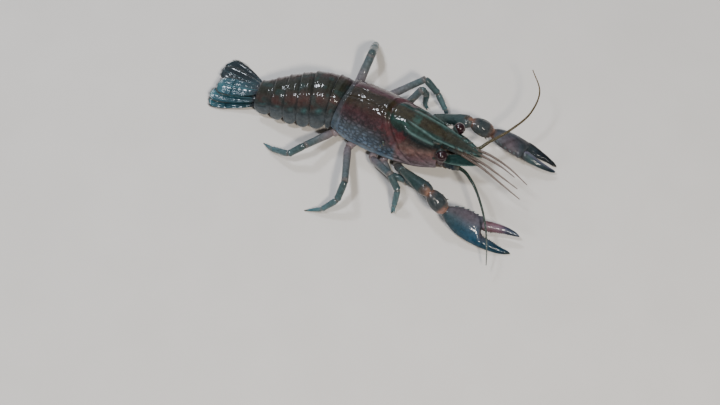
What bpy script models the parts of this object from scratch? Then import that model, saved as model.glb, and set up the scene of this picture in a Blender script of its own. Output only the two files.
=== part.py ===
"""A crayfish, life size, resting on the floor: shell plates, limbs, feelers and tail fan as separate solids.

The animal faces +X, its left side is +Y, and the floor is z = 0. Sizes are in millimetres in an
animal frame whose x = 0 is the rear edge of the carapace, and are turned into metres at the end.
"""

import math

import bmesh
import bpy
import numpy as np

MM = 0.001
GAP = 0.3
# Middle of the bounding box in the animal frame, which becomes the origin
BOX_MIDDLE = (9.48, -0.55)

# Carapace: x, half width, top, lower edge
CARAPACE_SIZES = (
    (0.0, 6.9, 13.0, 5.4),
    (3.0, 7.4, 13.9, 4.0),
    (8.0, 7.6, 14.7, 3.55),
    (13.0, 7.4, 15.0, 3.55),
    (18.0, 6.8, 14.9, 3.65),
    (23.0, 5.9, 14.3, 4.4),
    (27.0, 4.9, 13.6, 5.9),
)
CARAPACE_SIDES = 30
CARAPACE_STEP = 1.0
WIDEST_AT = 0.26
REAR_HOLLOW = 1.0
GROOVE_DEPTH = 0.45
GROOVE_WIDTH = 0.8
# Cervical groove: how far round from the back's midline, 0 to 1, and x
GROOVE_LINE = ((0.0, 12.9), (0.25, 13.5), (0.45, 15.0), (0.7, 17.8), (1.0, 22.0))

# Rostrum: x, half width, top
ROSTRUM_SIZES = (
    (23.5, 1.5, 14.1),
    (26.5, 2.0, 13.75),
    (30.0, 1.65, 13.35),
    (33.0, 1.15, 13.0),
    (35.2, 0.45, 12.85),
    (36.2, 0.15, 12.95),
)
ROSTRUM_THICK = 1.1
KEEL_RADIUS = 0.34
# Keels: x and distance from the midline
ROSTRAL_KEEL = ((17.5, 1.5), (21.0, 1.75), (25.0, 2.0), (27.5, 1.85), (30.0, 1.6), (33.0, 1.1), (35.0, 0.5))
ORBITAL_KEEL = ((17.5, 3.1), (20.0, 3.3), (23.0, 3.2), (25.8, 2.9))
ROSTRAL_SPINES = ((30.6, 1.62), (32.4, 1.3), (34.0, 0.85))
SPINE_LENGTH = 1.0
SPINE_RADIUS = 0.3
# Eyestalk, eye and orbit
EYE_CENTRE = (28.3, 4.4, 11.7)
EYE_RADIUS = 1.4
STALK_ROOT = (27.6, 2.5, 11.2)
STALK_RADIUS = 0.72

# Underside of the thorax: x, half width, underside
UNDERSIDE_SIZES = ((2.0, 2.6, 1.7), (4.0, 3.2, 1.3), (17.0, 3.2, 1.2), (21.0, 2.6, 1.5))
UNDERSIDE_TOP = 3.2

# Abdomen's middle line seen from above, and by distance back along it: half width, top, lower edge
TAIL_LINE = ((1.5, 0.0), (-2.0, -0.15), (-6.0, -1.1), (-10.0, -2.6), (-14.0, -4.1), (-18.0, -5.4),
             (-22.0, -6.3), (-26.0, -6.9), (-32.0, -7.6))
TAIL_SIZES = (
    (0.0, 6.4, 12.5, 3.9),
    (2.6, 6.7, 12.4, 3.4),
    (7.7, 6.8, 11.6, 2.4),
    (11.0, 6.4, 10.5, 2.0),
    (14.2, 5.8, 9.2, 1.8),
    (17.4, 5.0, 7.6, 1.6),
    (21.3, 3.9, 5.6, 1.5),
)
TERGITE_ENDS = ((0.4, 2.65), (2.95, 7.75), (8.05, 11.0), (11.3, 14.2), (14.5, 17.4), (17.7, 21.3))
TERGITE_STEP = 0.28
PLEURON_THICK = 0.8
BELLY_ABOVE_EDGE = 1.9
SWIMMERET_LENGTH = 3.0
SWIMMERET_RADIUS = 0.42

# Tail fan blades: distance back of the root, sideways, height of root and tip, length, width, outward
# turn and downward tilt in degrees
FAN_ROOT = 21.6
BLADE_THICK = 0.5
FAN = {
    "telson": dict(side=0.0, root_z=4.2, tip_z=2.4, length=10.4, width=4.7, turn=0.0, tilt=0.0),
    "uropod_inner_right": dict(side=1.6, root_z=3.0, tip_z=1.35, length=11.6, width=3.5, turn=4.0, tilt=5.0),
    "uropod_outer_right": dict(side=1.9, root_z=1.75, tip_z=0.3, length=11.6, width=4.0, turn=8.0, tilt=5.0),
    "uropod_inner_left": dict(side=2.0, root_z=3.0, tip_z=1.35, length=11.3, width=4.2, turn=15.0, tilt=5.0),
    "uropod_outer_left": dict(side=2.5, root_z=1.75, tip_z=0.3, length=11.9, width=5.5, turn=25.0, tilt=5.0),
}

# Feelers
PEDUNCLE_ROOT = (27.3, 3.1, 7.75)
PEDUNCLE_END = (32.4, 3.0, 7.9)
PEDUNCLE_RADIUS = 1.15
SCALE_ROOT = (28.3, 4.2, 9.6)
SCALE_TIP = (36.4, 1.3, 9.95)
SCALE_WIDTH = 3.0
FLAGELLUM_RADIUS = (0.42, 0.27, 0.25, 0.22)
FLAGELLUM_LEFT = ((32.8, 3.1, 7.95), (35.6, 6.4, 9.2), (38.6, 11.3, 10.2), (40.6, 17.0, 11.2),
                  (40.0, 22.4, 12.6), (36.2, 26.0, 14.2))
FLAGELLUM_RIGHT = ((32.8, -3.1, 7.95), (36.6, -5.2, 8.9), (41.2, -9.3, 8.6), (45.0, -13.8, 7.2),
                   (47.4, -17.6, 5.2), (48.8, -20.2, 3.2))
ANTENNULE_ROOT = (27.3, 1.0, 10.95)
ANTENNULE_PEDUNCLE_END = (32.2, 1.0, 10.95)
ANTENNULE_RADIUS = 0.65
ANTENNULE_LASH_RADIUS = (0.34, 0.26, 0.25)
# Ends of the outer and inner lash of each antennule, before the tip and at it
ANTENNULE_LASHES = {
    "right": (((37.5, -1.9, 10.6), (43.0, -2.6, 9.0), (48.2, -3.0, 7.0)),
              ((37.5, -0.9, 10.8), (42.6, -1.4, 9.8), (46.8, -1.7, 8.6))),
    "left": (((37.5, 1.9, 10.9), (42.6, 1.6, 10.0), (48.2, 0.6, 8.2)),
             ((37.5, 0.6, 11.2), (41.6, 0.3, 11.0), (45.2, -0.3, 10.4))),
}
MAXILLIPED_JOINTS = ((21.3, 1.6, 2.5), (24.6, 2.2, 2.7), (27.6, 2.0, 4.0), (29.6, 1.3, 5.2))
MAXILLIPED_RADII = (0.85, 0.8, 0.6, 0.3)

# Walking legs: root, hip, knee, wrist, hand, tip
LEGS = {
    "leg_right_2": ((13.9, -3.5, 2.25), (14.5, -7.0, 1.7), (17.6, -9.3, 1.5), (21.6, -8.7, 1.6),
                    (25.4, -8.3, 1.0), (27.6, -8.2, 0.0)),
    "leg_right_3": ((10.8, -3.5, 2.3), (12.0, -7.9, 2.3), (19.4, -12.6, 7.8), (22.1, -13.8, 5.0),
                    (22.6, -16.2, 1.8), (22.6, -17.4, 0.0)),
    "leg_right_4": ((7.6, -3.5, 2.3), (5.4, -8.0, 2.4), (10.8, -18.8, 6.6), (10.8, -22.4, 3.4),
                    (8.3, -25.2, 1.2), (4.6, -27.0, 0.0)),
    "leg_right_5": ((4.6, -3.5, 2.3), (0.4, -6.8, 3.1), (-2.8, -14.1, 5.0), (-5.6, -17.0, 3.0),
                    (-10.3, -16.9, 1.3), (-13.3, -15.9, 0.0)),
    "leg_left_2": ((14.0, 3.5, 2.3), (14.6, 7.0, 1.7), (17.6, 9.3, 1.5), (21.4, 8.2, 1.6),
                   (25.2, 7.4, 1.0), (27.4, 6.8, 0.0)),
    "leg_left_3": ((10.8, 3.5, 2.3), (11.3, 8.1, 2.2), (14.4, 11.8, 8.0), (15.2, 13.0, 5.0),
                   (15.2, 12.4, 1.8), (16.0, 12.1, 0.0)),
    "leg_left_4": ((7.6, 3.5, 2.3), (6.1, 8.6, 2.4), (13.8, 14.8, 8.2), (17.4, 14.6, 5.0),
                   (20.4, 13.2, 1.8), (21.6, 12.7, 0.0)),
    "leg_left_5": ((4.6, 3.5, 2.3), (-1.2, 8.1, 2.3), (-1.2, 14.9, 7.5), (-2.5, 18.7, 4.5),
                   (-3.6, 21.5, 1.8), (-4.2, 23.2, 0.0)),
}
LEG_RADII = (0.85, 0.98, 0.9, 0.82, 0.64, 0.3)
# Legs that are stouter than the rest
LEG_STOUTNESS = {"leg_left_5": 1.25}
LEG_SIDES = 8
KNEE = 2
# Legs 2 and 3 end in a small pincer: its fixed finger's length as a share of the moving one's, its
# lean away from that one, and its thickness
PINCER_LEGS = ("2", "3")
PINCER_FINGER = 0.85
PINCER_LEAN = 0.5
PINCER_RADIUS = 0.4

# Chelipeds: root, bend, then the joints at the merus, carpus and hand, and the tip of the fixed finger
CHELIPEDS = {
    "right": dict(joints=((16.3, -3.5, 2.25), (18.1, -6.6, 2.15), (20.6, -8.6, 4.9), (29.6, -12.4, 8.2),
                          (34.2, -13.1, 4.8), (51.6, -12.9, 0.35)), medial=1.0, gape=23.0),
    "left": dict(joints=((16.3, 3.5, 2.25), (18.1, 6.6, 2.15), (20.4, 8.5, 4.9), (29.0, 9.6, 7.9),
                         (33.9, 11.2, 5.0), (50.5, 12.9, 0.35)), medial=-1.0, gape=9.0),
}
# Along the merus and carpus: half width
MERUS_SWELL = ((0.0, 0.9), (0.2, 1.2), (0.45, 1.45), (0.72, 1.75), (0.86, 1.7), (1.0, 1.3))
CARPUS_SWELL = ((0.0, 1.15), (0.3, 1.9), (0.5, 2.15), (0.75, 2.0), (1.0, 1.35))
# Spines of the claw limb, by how far along their article they stand
MERUS_SPINE_AT = 0.86
CARPUS_SPINE_AT = 0.7
PALM_SPINES_AT = (0.14, 0.24, 0.34)
HAND_ROLL = 25.0
# Along the hand from wrist to fingertip: half width, half thickness, shift to the outer side
PALM_SIZES = ((0.0, 1.15, 1.0, 0.0), (0.06, 1.9, 1.35, 0.0), (0.22, 3.0, 1.65, 0.0), (0.4, 3.3, 1.6, 0.0),
              (0.5, 3.15, 1.4, 0.1), (0.506, 1.5, 1.25, 1.55), (0.7, 1.25, 1.0, 1.45),
              (0.88, 0.75, 0.6, 1.0), (1.0, 0.24, 0.26, 0.35))
DACTYL_SIZES = ((0.525, 1.2, 1.15, -1.85), (0.7, 1.05, 0.85, -1.8), (0.88, 0.72, 0.55, -1.4),
                (1.0, 0.26, 0.26, -0.75))


def blend(table, at):
    """Rows of a table (first column the position) at the positions given, on a smooth curve."""
    table = np.array(table, float)
    knots, rows = table[:, 0], table[:, 1:]
    slopes = np.gradient(rows, knots, axis=0)
    at = np.clip(np.atleast_1d(np.asarray(at, float)), knots[0], knots[-1])
    i = np.clip(np.searchsorted(knots, at, side="right") - 1, 0, len(knots) - 2)
    width = (knots[i + 1] - knots[i])[:, None]
    t = (at[:, None] - knots[i][:, None]) / width
    return ((2 * t**3 - 3 * t**2 + 1) * rows[i] + (t**3 - 2 * t**2 + t) * width * slopes[i]
            + (3 * t**2 - 2 * t**3) * rows[i + 1] + (t**3 - t**2) * width * slopes[i + 1])


def unit(vectors):
    vectors = np.asarray(vectors, float)
    return vectors / np.linalg.norm(vectors, axis=-1, keepdims=True)


def smooth_path(points, count):
    """Points at even spacing on a smooth curve through the points given."""
    points = np.array(points, float)
    lengths = np.concatenate([[0.0], np.cumsum(np.linalg.norm(np.diff(points, axis=0), axis=1))])
    return blend(np.column_stack([lengths, points]), np.linspace(0.0, lengths[-1], count))


def sweep(path, half_widths, half_heights, side, sides):
    """Elliptic rings along a path, each square to it, with their width along the side direction."""
    path = np.array(path, float)
    along = unit(np.gradient(path, axis=0))
    across = unit(np.array(side, float) - (along @ np.array(side, float))[:, None] * along)
    upward = np.cross(along, across)
    angles = np.arange(sides) * 2 * math.pi / sides
    wide = np.array(half_widths, float)[:, None, None] * np.cos(angles)[None, :, None]
    high = np.array(half_heights, float)[:, None, None] * np.sin(angles)[None, :, None]
    return path[:, None, :] + wide * across[:, None, :] + high * upward[:, None, :]


def material(name, colour, roughness=0.28):
    made = bpy.data.materials.new(name)
    made.use_nodes = True
    shader = made.node_tree.nodes["Principled BSDF"]
    shader.inputs["Base Color"].default_value = (*colour, 1.0)
    shader.inputs["Roughness"].default_value = roughness
    return made


def add_object(name, mesh, collection, finish=None):
    made = bpy.data.objects.new(name, mesh)
    collection.objects.link(made)
    if finish:
        mesh.materials.append(finish)
    return made


def loft(name, rings, collection, finish=None):
    """A closed skin over rings of equal point count, with a flat fan over each end."""
    rings = np.array(rings, float)
    count, around = rings.shape[:2]
    middles = rings[[0, -1]].mean(axis=1)
    points = np.concatenate([rings.reshape(-1, 3), middles])
    points = (points - np.array([*BOX_MIDDLE, 0.0])) * MM
    ring, step = np.meshgrid(np.arange(count - 1), np.arange(around), indexing="ij")
    after = (step + 1) % around
    a, b = ring * around + step, ring * around + after
    c, d = (ring + 1) * around + after, (ring + 1) * around + step
    first, last = count * around, count * around + 1
    steps = np.arange(around)
    nexts = (steps + 1) % around
    tail = (count - 1) * around
    faces = np.concatenate([
        np.stack([a, b, c], -1).reshape(-1, 3),
        np.stack([a, c, d], -1).reshape(-1, 3),
        np.stack([np.full(around, first), nexts, steps], -1),
        np.stack([np.full(around, last), tail + steps, tail + nexts], -1),
    ])
    mesh = bpy.data.meshes.new(name)
    mesh.from_pydata(points.tolist(), [], faces.tolist())
    skin = bmesh.new()
    skin.from_mesh(mesh)
    bmesh.ops.recalc_face_normals(skin, faces=skin.faces)
    skin.to_mesh(mesh)
    skin.free()
    mesh.shade_smooth()
    mesh.set_sharp_from_angle(angle=math.radians(50))
    return add_object(name, mesh, collection, finish)


def spike(name, root, direction, length, radius, collection, sides=5):
    """A cone with its root at a point, which is sunk into the shell there."""
    path = np.array(root, float) + unit(direction) * np.array([[-0.35 * length], [0.3 * length], [length]])
    radii = np.array([1.0, 0.7, 0.12]) * radius
    side = (0.0, 0.0, 1.0) if abs(unit(direction)[2]) < 0.8 else (0.0, 1.0, 0.0)
    return loft(name, sweep(path, radii, radii, side, sides), collection)


def fuse(body, pieces, scratch, solver="EXACT"):
    """Joins loose closed pieces to a body and keeps its largest closed surface."""
    union = body.modifiers.new("Fused pieces", "BOOLEAN")
    union.operation = "UNION"
    union.operand_type = "COLLECTION"
    union.collection = scratch
    union.solver = solver
    if solver == "EXACT":
        union.use_self = True
    bpy.context.view_layer.update()
    evaluated = body.evaluated_get(bpy.context.evaluated_depsgraph_get())
    fused = bpy.data.meshes.new_from_object(evaluated)
    body.modifiers.clear()
    body.data = fused
    for piece in pieces:
        bpy.data.objects.remove(piece, do_unlink=True)
    keep_largest(fused)
    return body


def keep_largest(mesh):
    work = bmesh.new()
    work.from_mesh(mesh)
    bmesh.ops.triangulate(work, faces=work.faces)
    left, groups = set(work.verts), []
    while left:
        group, front = set(), [left.pop()]
        while front:
            vertex = front.pop()
            group.add(vertex)
            for edge in vertex.link_edges:
                other = edge.other_vert(vertex)
                if other in left:
                    left.discard(other)
                    front.append(other)
        groups.append(group)
    groups.sort(key=len)
    for group in groups[:-1]:
        bmesh.ops.delete(work, geom=list(group), context="VERTS")
    work.to_mesh(mesh)
    work.free()


def carapace_ring(x):
    """The carapace's outline at x: an arch, widest low down, closed flat along its lower edges."""
    half, top, low = blend(CARAPACE_SIZES, x)[0]
    angle = np.linspace(0.0, math.pi, CARAPACE_SIDES + 1)
    widest = low + WIDEST_AT * (top - low)
    turn = np.abs(1.0 - 2.0 * angle / math.pi)
    across = np.sign(np.cos(angle)) * np.abs(np.cos(angle)) ** 0.92 * half
    arch = np.abs(np.sin(angle)) ** 1.06
    height = low + (top - low) * arch
    tuck = np.clip((widest - height) / (widest - low), 0.0, 1.0)
    across *= 1.0 - 0.07 * tuck**2
    groove_x = np.interp(1.0 - turn, 1.0 - np.array(GROOVE_LINE)[::-1, 0], np.array(GROOVE_LINE)[::-1, 1])
    dip = GROOVE_DEPTH * np.exp(-(((x - groove_x) / GROOVE_WIDTH) ** 2)) * (height > low + 1.5)
    shrink = 1.0 - dip / half
    back = REAR_HOLLOW * (1.0 - turn) * np.clip(1.0 - x / 4.0, 0.0, 1.0)
    return np.stack([x + back, across * shrink, low + (height - low) * shrink], -1)


def carapace_top(x, side):
    """Height of the carapace at a distance to the side."""
    ring = carapace_ring(x)
    return float(np.interp(-abs(side), -ring[: CARAPACE_SIDES // 2 + 1, 1], ring[: CARAPACE_SIDES // 2 + 1, 2]))


def keel(name, line, sign, collection):
    """A low ridge along the shell, half sunk into it."""
    points = blend(line, np.linspace(line[0][0], line[-1][0], 9))
    xs = np.linspace(line[0][0], line[-1][0], 9)
    tops = [max(carapace_top(min(x, 26.5), y), blend(ROSTRUM_SIZES, x)[0][1] if x > 26.0 else 0.0)
            for x, y in zip(xs, points[:, 0])]
    if line is ORBITAL_KEEL:
        tops = [carapace_top(x, y) for x, y in zip(xs, points[:, 0])]
    path = np.column_stack([xs, sign * points[:, 0], np.array(tops) - 0.02])
    radii = KEEL_RADIUS * np.array([0.25, 0.7, 0.95, 1.0, 1.0, 1.0, 0.9, 0.7, 0.4])
    return loft(name, sweep(path, radii, radii, (0.0, 1.0, 0.0), 6), collection)


def make_carapace(collection, scratch, finish):
    steps = np.linspace(0.0, 27.0, int(27.0 / CARAPACE_STEP) + 1)
    body = loft("carapace", [carapace_ring(x) for x in steps], collection, finish)
    pieces = []
    xs = np.linspace(ROSTRUM_SIZES[0][0], ROSTRUM_SIZES[-1][0], 12)
    sizes = blend(ROSTRUM_SIZES, xs)
    path = np.column_stack([xs, 0 * xs, sizes[:, 1] - 0.5 * ROSTRUM_THICK])
    thick = 0.5 * ROSTRUM_THICK * np.clip(sizes[:, 0] / 1.0, 0.25, 1.0)
    pieces.append(loft("rostrum", sweep(path, sizes[:, 0], thick, (0.0, 1.0, 0.0), 10), scratch))
    for sign in (-1.0, 1.0):
        pieces.append(keel("rostral keel", ROSTRAL_KEEL, sign, scratch))
        pieces.append(keel("orbital keel", ORBITAL_KEEL, sign, scratch))
        for x, side in ROSTRAL_SPINES:
            top = blend(ROSTRUM_SIZES, x)[0][1]
            pieces.append(spike("spine", (x, sign * side, top - 0.25), (1.0, sign * 0.55, 0.35),
                                SPINE_LENGTH, SPINE_RADIUS, scratch))
        x, side = ORBITAL_KEEL[-1]
        pieces.append(spike("spine", (x, sign * side, carapace_top(x, side)), (1.0, 0.0, 0.25),
                            SPINE_LENGTH, SPINE_RADIUS, scratch))
        pieces.append(spike("spine", (14.2, sign * 6.75, 9.6), (0.6, sign * 0.8, 0.1),
                            SPINE_LENGTH, SPINE_RADIUS, scratch))
    return fuse(body, pieces, scratch)


def make_underside(collection, finish):
    rings = []
    for x, half, low in UNDERSIDE_SIZES:
        top = UNDERSIDE_TOP
        rings.append([(x, half, low + 0.5), (x, half, top), (x, -half, top), (x, -half, low + 0.5),
                      (x, -half + 0.8, low), (x, half - 0.8, low)])
    return loft("thorax_underside", rings, collection, finish)


def tail_frame(back):
    """Place, backward direction and left-hand direction at a distance back along the abdomen."""
    line = np.array(TAIL_LINE, float)
    lengths = np.concatenate([[0.0], np.cumsum(np.linalg.norm(np.diff(line, axis=0), axis=1))]) - 1.5
    table = np.column_stack([lengths, line])
    here, ahead, behind = blend(table, [back, back + 0.1, back - 0.1])
    along = unit(np.append(ahead - behind, 0.0))
    return np.append(here, 0.0), along, np.cross(along, (0.0, 0.0, 1.0))


def tergite_ring(back, size, edge_lift):
    """An arch with a side plate down each flank and an open belly between them."""
    half, top, low = blend(TAIL_SIZES, back)[0]
    half, top, low = half * size, low + (top - low) * size, low + edge_lift
    centre, along, left = tail_frame(back)
    angle = np.linspace(0.0, math.pi, 17)
    across = np.sign(np.cos(angle)) * np.abs(np.cos(angle)) ** 0.8 * half
    height = low + (top - low) * np.abs(np.sin(angle)) ** 0.9
    belly = low + BELLY_ABOVE_EDGE - edge_lift * 0.5
    inner = half - PLEURON_THICK
    across = np.concatenate([across, [-inner, -inner + 0.7, inner - 0.7, inner]])
    height = np.concatenate([height, [low, belly, belly, low]])
    return centre + across[:, None] * left + height[:, None] * np.array([0.0, 0.0, 1.0])


def make_abdomen(collection, scratch, finish):
    for number, (front, rear) in enumerate(TERGITE_ENDS, 1):
        stations = ((0.0, 1.0 - 1.6 * TERGITE_STEP / 6.0, 1.5), (0.12, 1.0 - TERGITE_STEP / 6.0, 0.9),
                    (0.35, 1.0, 0.2), (0.6, 1.005, 0.0), (0.85, 1.012, 0.5), (1.0, 1.015, 1.3))
        rings = [tergite_ring(front + (rear - front) * part, size, lift) for part, size, lift in stations]
        body = loft(f"abdomen_{number}", rings, collection, finish)
        if number in (2, 3, 4, 5):
            middle = 0.5 * (front + rear)
            half, _, low = blend(TAIL_SIZES, middle)[0]
            centre, along, left = tail_frame(middle)
            pieces = []
            for sign in (-1.0, 1.0):
                root = centre + sign * (half - 2.6) * left + np.array([0.0, 0.0, low + BELLY_ABOVE_EDGE + 0.2])
                lean = 0.55 * along - 0.12 * sign * left - np.array([0.0, 0.0, 0.55])
                path = root + lean * np.linspace(0.0, 1.0, 4)[:, None] * SWIMMERET_LENGTH * 0.62
                wide = SWIMMERET_RADIUS * np.array([1.1, 1.6, 1.7, 0.8])
                high = SWIMMERET_RADIUS * np.array([0.9, 0.75, 0.7, 0.6])
                pieces.append(loft("swimmeret", sweep(path, wide, high, left, 6), scratch))
            fuse(body, pieces, scratch, "MANIFOLD")


def make_blade(name, sign, sizes, collection, finish):
    """A tail blade: a rounded plate that widens to its end, tilted down to its outer side."""
    centre, along, left = tail_frame(FAN_ROOT)
    turn, tilt = math.radians(sizes["turn"]) * sign, math.radians(sizes["tilt"])
    forward = unit(along * math.cos(turn) + left * math.sin(turn))
    outward = np.cross((0.0, 0.0, 1.0), forward) * -sign if sign else left
    outward = outward * (1.0 if outward @ left * (sign or 1.0) > 0 else -1.0)
    outward = unit(outward * math.cos(tilt) - np.array([0.0, 0.0, math.sin(tilt)]))
    part = np.array([0.0, 0.08, 0.25, 0.5, 0.72, 0.87, 0.95, 0.985, 1.0])
    shape = np.array([0.42, 0.55, 0.78, 0.97, 1.0, 0.93, 0.72, 0.45, 0.2])
    half = 0.5 * sizes["width"] * shape
    drop = sizes["root_z"] + (sizes["tip_z"] - sizes["root_z"]) * part**0.8
    path = (centre + sign * sizes["side"] * left + forward * (part * sizes["length"])[:, None]
            + np.array([0.0, 0.0, 1.0]) * drop[:, None])
    thick = 0.5 * BLADE_THICK * np.array([1.3, 1.25, 1.15, 1.0, 1.0, 0.95, 0.9, 0.8, 0.7])
    rings = meet(sweep(path, half, thick, outward, 10), 0, centre, along)
    rings[:, :, 2] = np.maximum(rings[:, :, 2], 0.0)
    return loft(name, rings, collection, finish)


def make_tail_fan(collection, finish):
    for name, sizes in FAN.items():
        sign = {"right": -1.0, "left": 1.0}.get(name.split("_")[-1], 0.0)
        make_blade(name, sign, sizes, collection, finish)


def meet(rings, end, joint, normal):
    """Slides the first or last ring along its article onto its own face of a joint, half a gap short."""
    near = rings[end].mean(axis=0) - rings[1 if end == 0 else -2].mean(axis=0)
    along, normal = unit(near), unit(normal)
    face = np.array(joint, float) - 0.5 * GAP * normal * (1.0 if end == -1 else -1.0)
    rings[end] += ((face - rings[end]) @ normal / (along @ normal))[:, None] * along
    return rings


def joint_normal(before, joint, after):
    return unit(unit(np.subtract(joint, before)) + unit(np.subtract(after, joint)))


def jointed(joints, radii, sides, flat_root=False, bulge=1.12):
    """Rings along straight articles, pinched at each joint and fuller between."""
    joints = np.array(joints, float)
    path, sizes = [joints[0]], [radii[0]]
    for i in range(len(joints) - 1):
        a, b = joints[i], joints[i + 1]
        for part in (0.3, 0.55, 0.75):
            path.append(a + (b - a) * part)
            sizes.append((radii[i] + (radii[i + 1] - radii[i]) * part) * (bulge if part == 0.55 else 1.0))
        path.append(b)
        sizes.append(radii[i + 1] * (0.84 if i < len(joints) - 2 else 1.0))
    path, sizes = np.array(path), np.array(sizes)
    normal = np.cross(joints[1] - joints[0], joints[-1] - joints[0])
    side = unit(normal) if np.linalg.norm(normal) > 1e-6 else np.array([0.0, 0.0, 1.0])
    rings = sweep(path, sizes, sizes, side, sides)
    if flat_root:
        rings[0][:, 1] = joints[0][1]
    return rings


def level_foot(rings):
    """Lays the last ring of a limb flat on the floor."""
    rings[-1][:, 2] = 0.0
    rings[:, :, 2] = np.maximum(rings[:, :, 2], 0.0)
    return rings


def make_legs(collection, scratch, finish):
    for name, joints in LEGS.items():
        radii = np.array(LEG_RADII) * LEG_STOUTNESS.get(name, 1.0)
        turn = joint_normal(*joints[KNEE - 1: KNEE + 2])
        upper = jointed(joints[: KNEE + 1], radii[: KNEE + 1], LEG_SIDES, flat_root=True)
        loft(f"{name}_upper", meet(upper, -1, joints[KNEE], turn), collection, finish)
        lower = level_foot(jointed(joints[KNEE:], radii[KNEE:], LEG_SIDES))
        body = loft(f"{name}_lower", meet(lower, 0, joints[KNEE], turn), collection, finish)
        if name[-1] in PINCER_LEGS:
            fuse(body, [fixed_finger(joints, scratch)], scratch, "MANIFOLD")


def fixed_finger(joints, collection):
    """The finger beside the tip of a pincer leg, leaning away from it and clear of the floor."""
    wrist, hand, tip = np.array(joints[-3:], float)
    finger = tip - hand
    aside = unit(np.cross(np.cross(hand - wrist, finger), finger))
    aside = aside if aside[2] > 0.0 else -aside
    direction = finger + PINCER_LEAN * np.linalg.norm(finger) * aside
    return spike("finger", hand, direction, PINCER_FINGER * np.linalg.norm(finger), PINCER_RADIUS, collection)


def make_cheliped(side, sizes, collection, scratch, finishes):
    joints = sizes["joints"]
    turns = {i: joint_normal(*joints[i - 1: i + 2]) for i in (2, 3, 4)}
    base = jointed(joints[:3], (0.9, 0.95, 0.95), 10, flat_root=True)
    loft(f"cheliped_{side}_base", meet(base, -1, joints[2], turns[2]), collection, finishes["limb"])
    for article, first, swell in (("merus", 2, MERUS_SWELL), ("carpus", 3, CARPUS_SWELL)):
        start, end = np.array(joints[first: first + 2], float)
        part, shape = np.array(swell).T
        outward = np.cross((0.0, 0.0, 1.0), unit(end - start))
        rings = sweep(start + (end - start) * part[:, None], shape, shape * 0.85, outward, 10)
        rings = meet(meet(rings, 0, start, turns[first]), -1, end, turns[first + 1])
        body = loft(f"cheliped_{side}_{article}", rings, collection, finishes["limb"])
        along = unit(end - start)
        at, reach = ((MERUS_SPINE_AT, np.cross(along, outward) * -1.0) if article == "merus"
                     else (CARPUS_SPINE_AT, outward * sizes["medial"]))
        reach = reach if article == "carpus" or reach[2] > 0.0 else -reach
        half = np.interp(at, part, shape) * (0.85 if article == "merus" else 1.0)
        root = start + (end - start) * at + reach * (half - 0.15)
        fuse(body, [spike("spine", root, along * 0.8 + reach, SPINE_LENGTH, SPINE_RADIUS, scratch)], scratch)
    make_hand(side, sizes, turns[4], collection, scratch, finishes)


def hand_axes(sizes):
    """The hand's directions to its inner edge and out of its upper face, with the inner edge raised."""
    start, end = np.array(sizes["joints"][4:], float)
    along = unit(end - start)
    inward = unit(np.cross((0.0, 0.0, 1.0), along)) * sizes["medial"]
    lift = np.cross(along, inward) * sizes["medial"]
    roll = math.radians(HAND_ROLL)
    return (inward * math.cos(roll) + lift * math.sin(roll),
            lift * math.cos(roll) - inward * math.sin(roll))


def hand_rings(sizes, table):
    start, end = np.array(sizes["joints"][4:], float)
    table = np.array(table, float)
    along = unit(end - start)
    inward, lift = hand_axes(sizes)
    path = start + along * (table[:, :1] * np.linalg.norm(end - start)) - inward * table[:, 3:4]
    angles = np.arange(12) * 2 * math.pi / 12
    return (path[:, None, :] + table[:, 1][:, None, None] * np.cos(angles)[None, :, None] * inward
            + table[:, 2][:, None, None] * np.sin(angles)[None, :, None] * lift)


def opened(rings, sizes):
    """The movable finger, swung out from the fixed one about its hinge."""
    start, end = np.array(sizes["joints"][4:], float)
    hinge = rings[0].mean(axis=0)
    inward, lift = hand_axes(sizes)
    angle = math.radians(sizes["gape"])
    along = unit(end - start)
    parts = [(rings - hinge) @ axis for axis in (along, inward, lift)]
    ahead = parts[0] * math.cos(angle) - parts[1] * math.sin(angle)
    aside = parts[0] * math.sin(angle) + parts[1] * math.cos(angle)
    turned = hinge + ahead[..., None] * along + aside[..., None] * inward + parts[2][..., None] * lift
    face = start + along * (np.linalg.norm(end - start) * DACTYL_SIZES[0][0])
    turned[0] += ((face - turned[0]) @ along)[:, None] * along
    return turned


def make_hand(side, sizes, turn, collection, scratch, finishes):
    palm = meet(hand_rings(sizes, PALM_SIZES), 0, sizes["joints"][4], turn)
    palm[:, :, 2] = np.maximum(palm[:, :, 2], 0.0)
    body = loft(f"cheliped_{side}_propodus", palm, collection, finishes["hand"])
    start, end = np.array(sizes["joints"][4:], float)
    inward, _ = hand_axes(sizes)
    spines = []
    for at in PALM_SPINES_AT:
        half = np.interp(at, *np.array(PALM_SIZES)[:, :2].T)
        root = start + (end - start) * at + inward * (half - 0.15)
        spines.append(spike("spine", root, inward + 0.9 * unit(end - start), SPINE_LENGTH * 0.8,
                            SPINE_RADIUS, scratch))
    fuse(body, spines, scratch)
    finger = opened(hand_rings(sizes, DACTYL_SIZES), sizes)
    loft(f"cheliped_{side}_dactyl", finger, collection, finishes["hand"])


def mirrored(point, sign):
    return (point[0], point[1] * sign, point[2])


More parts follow.
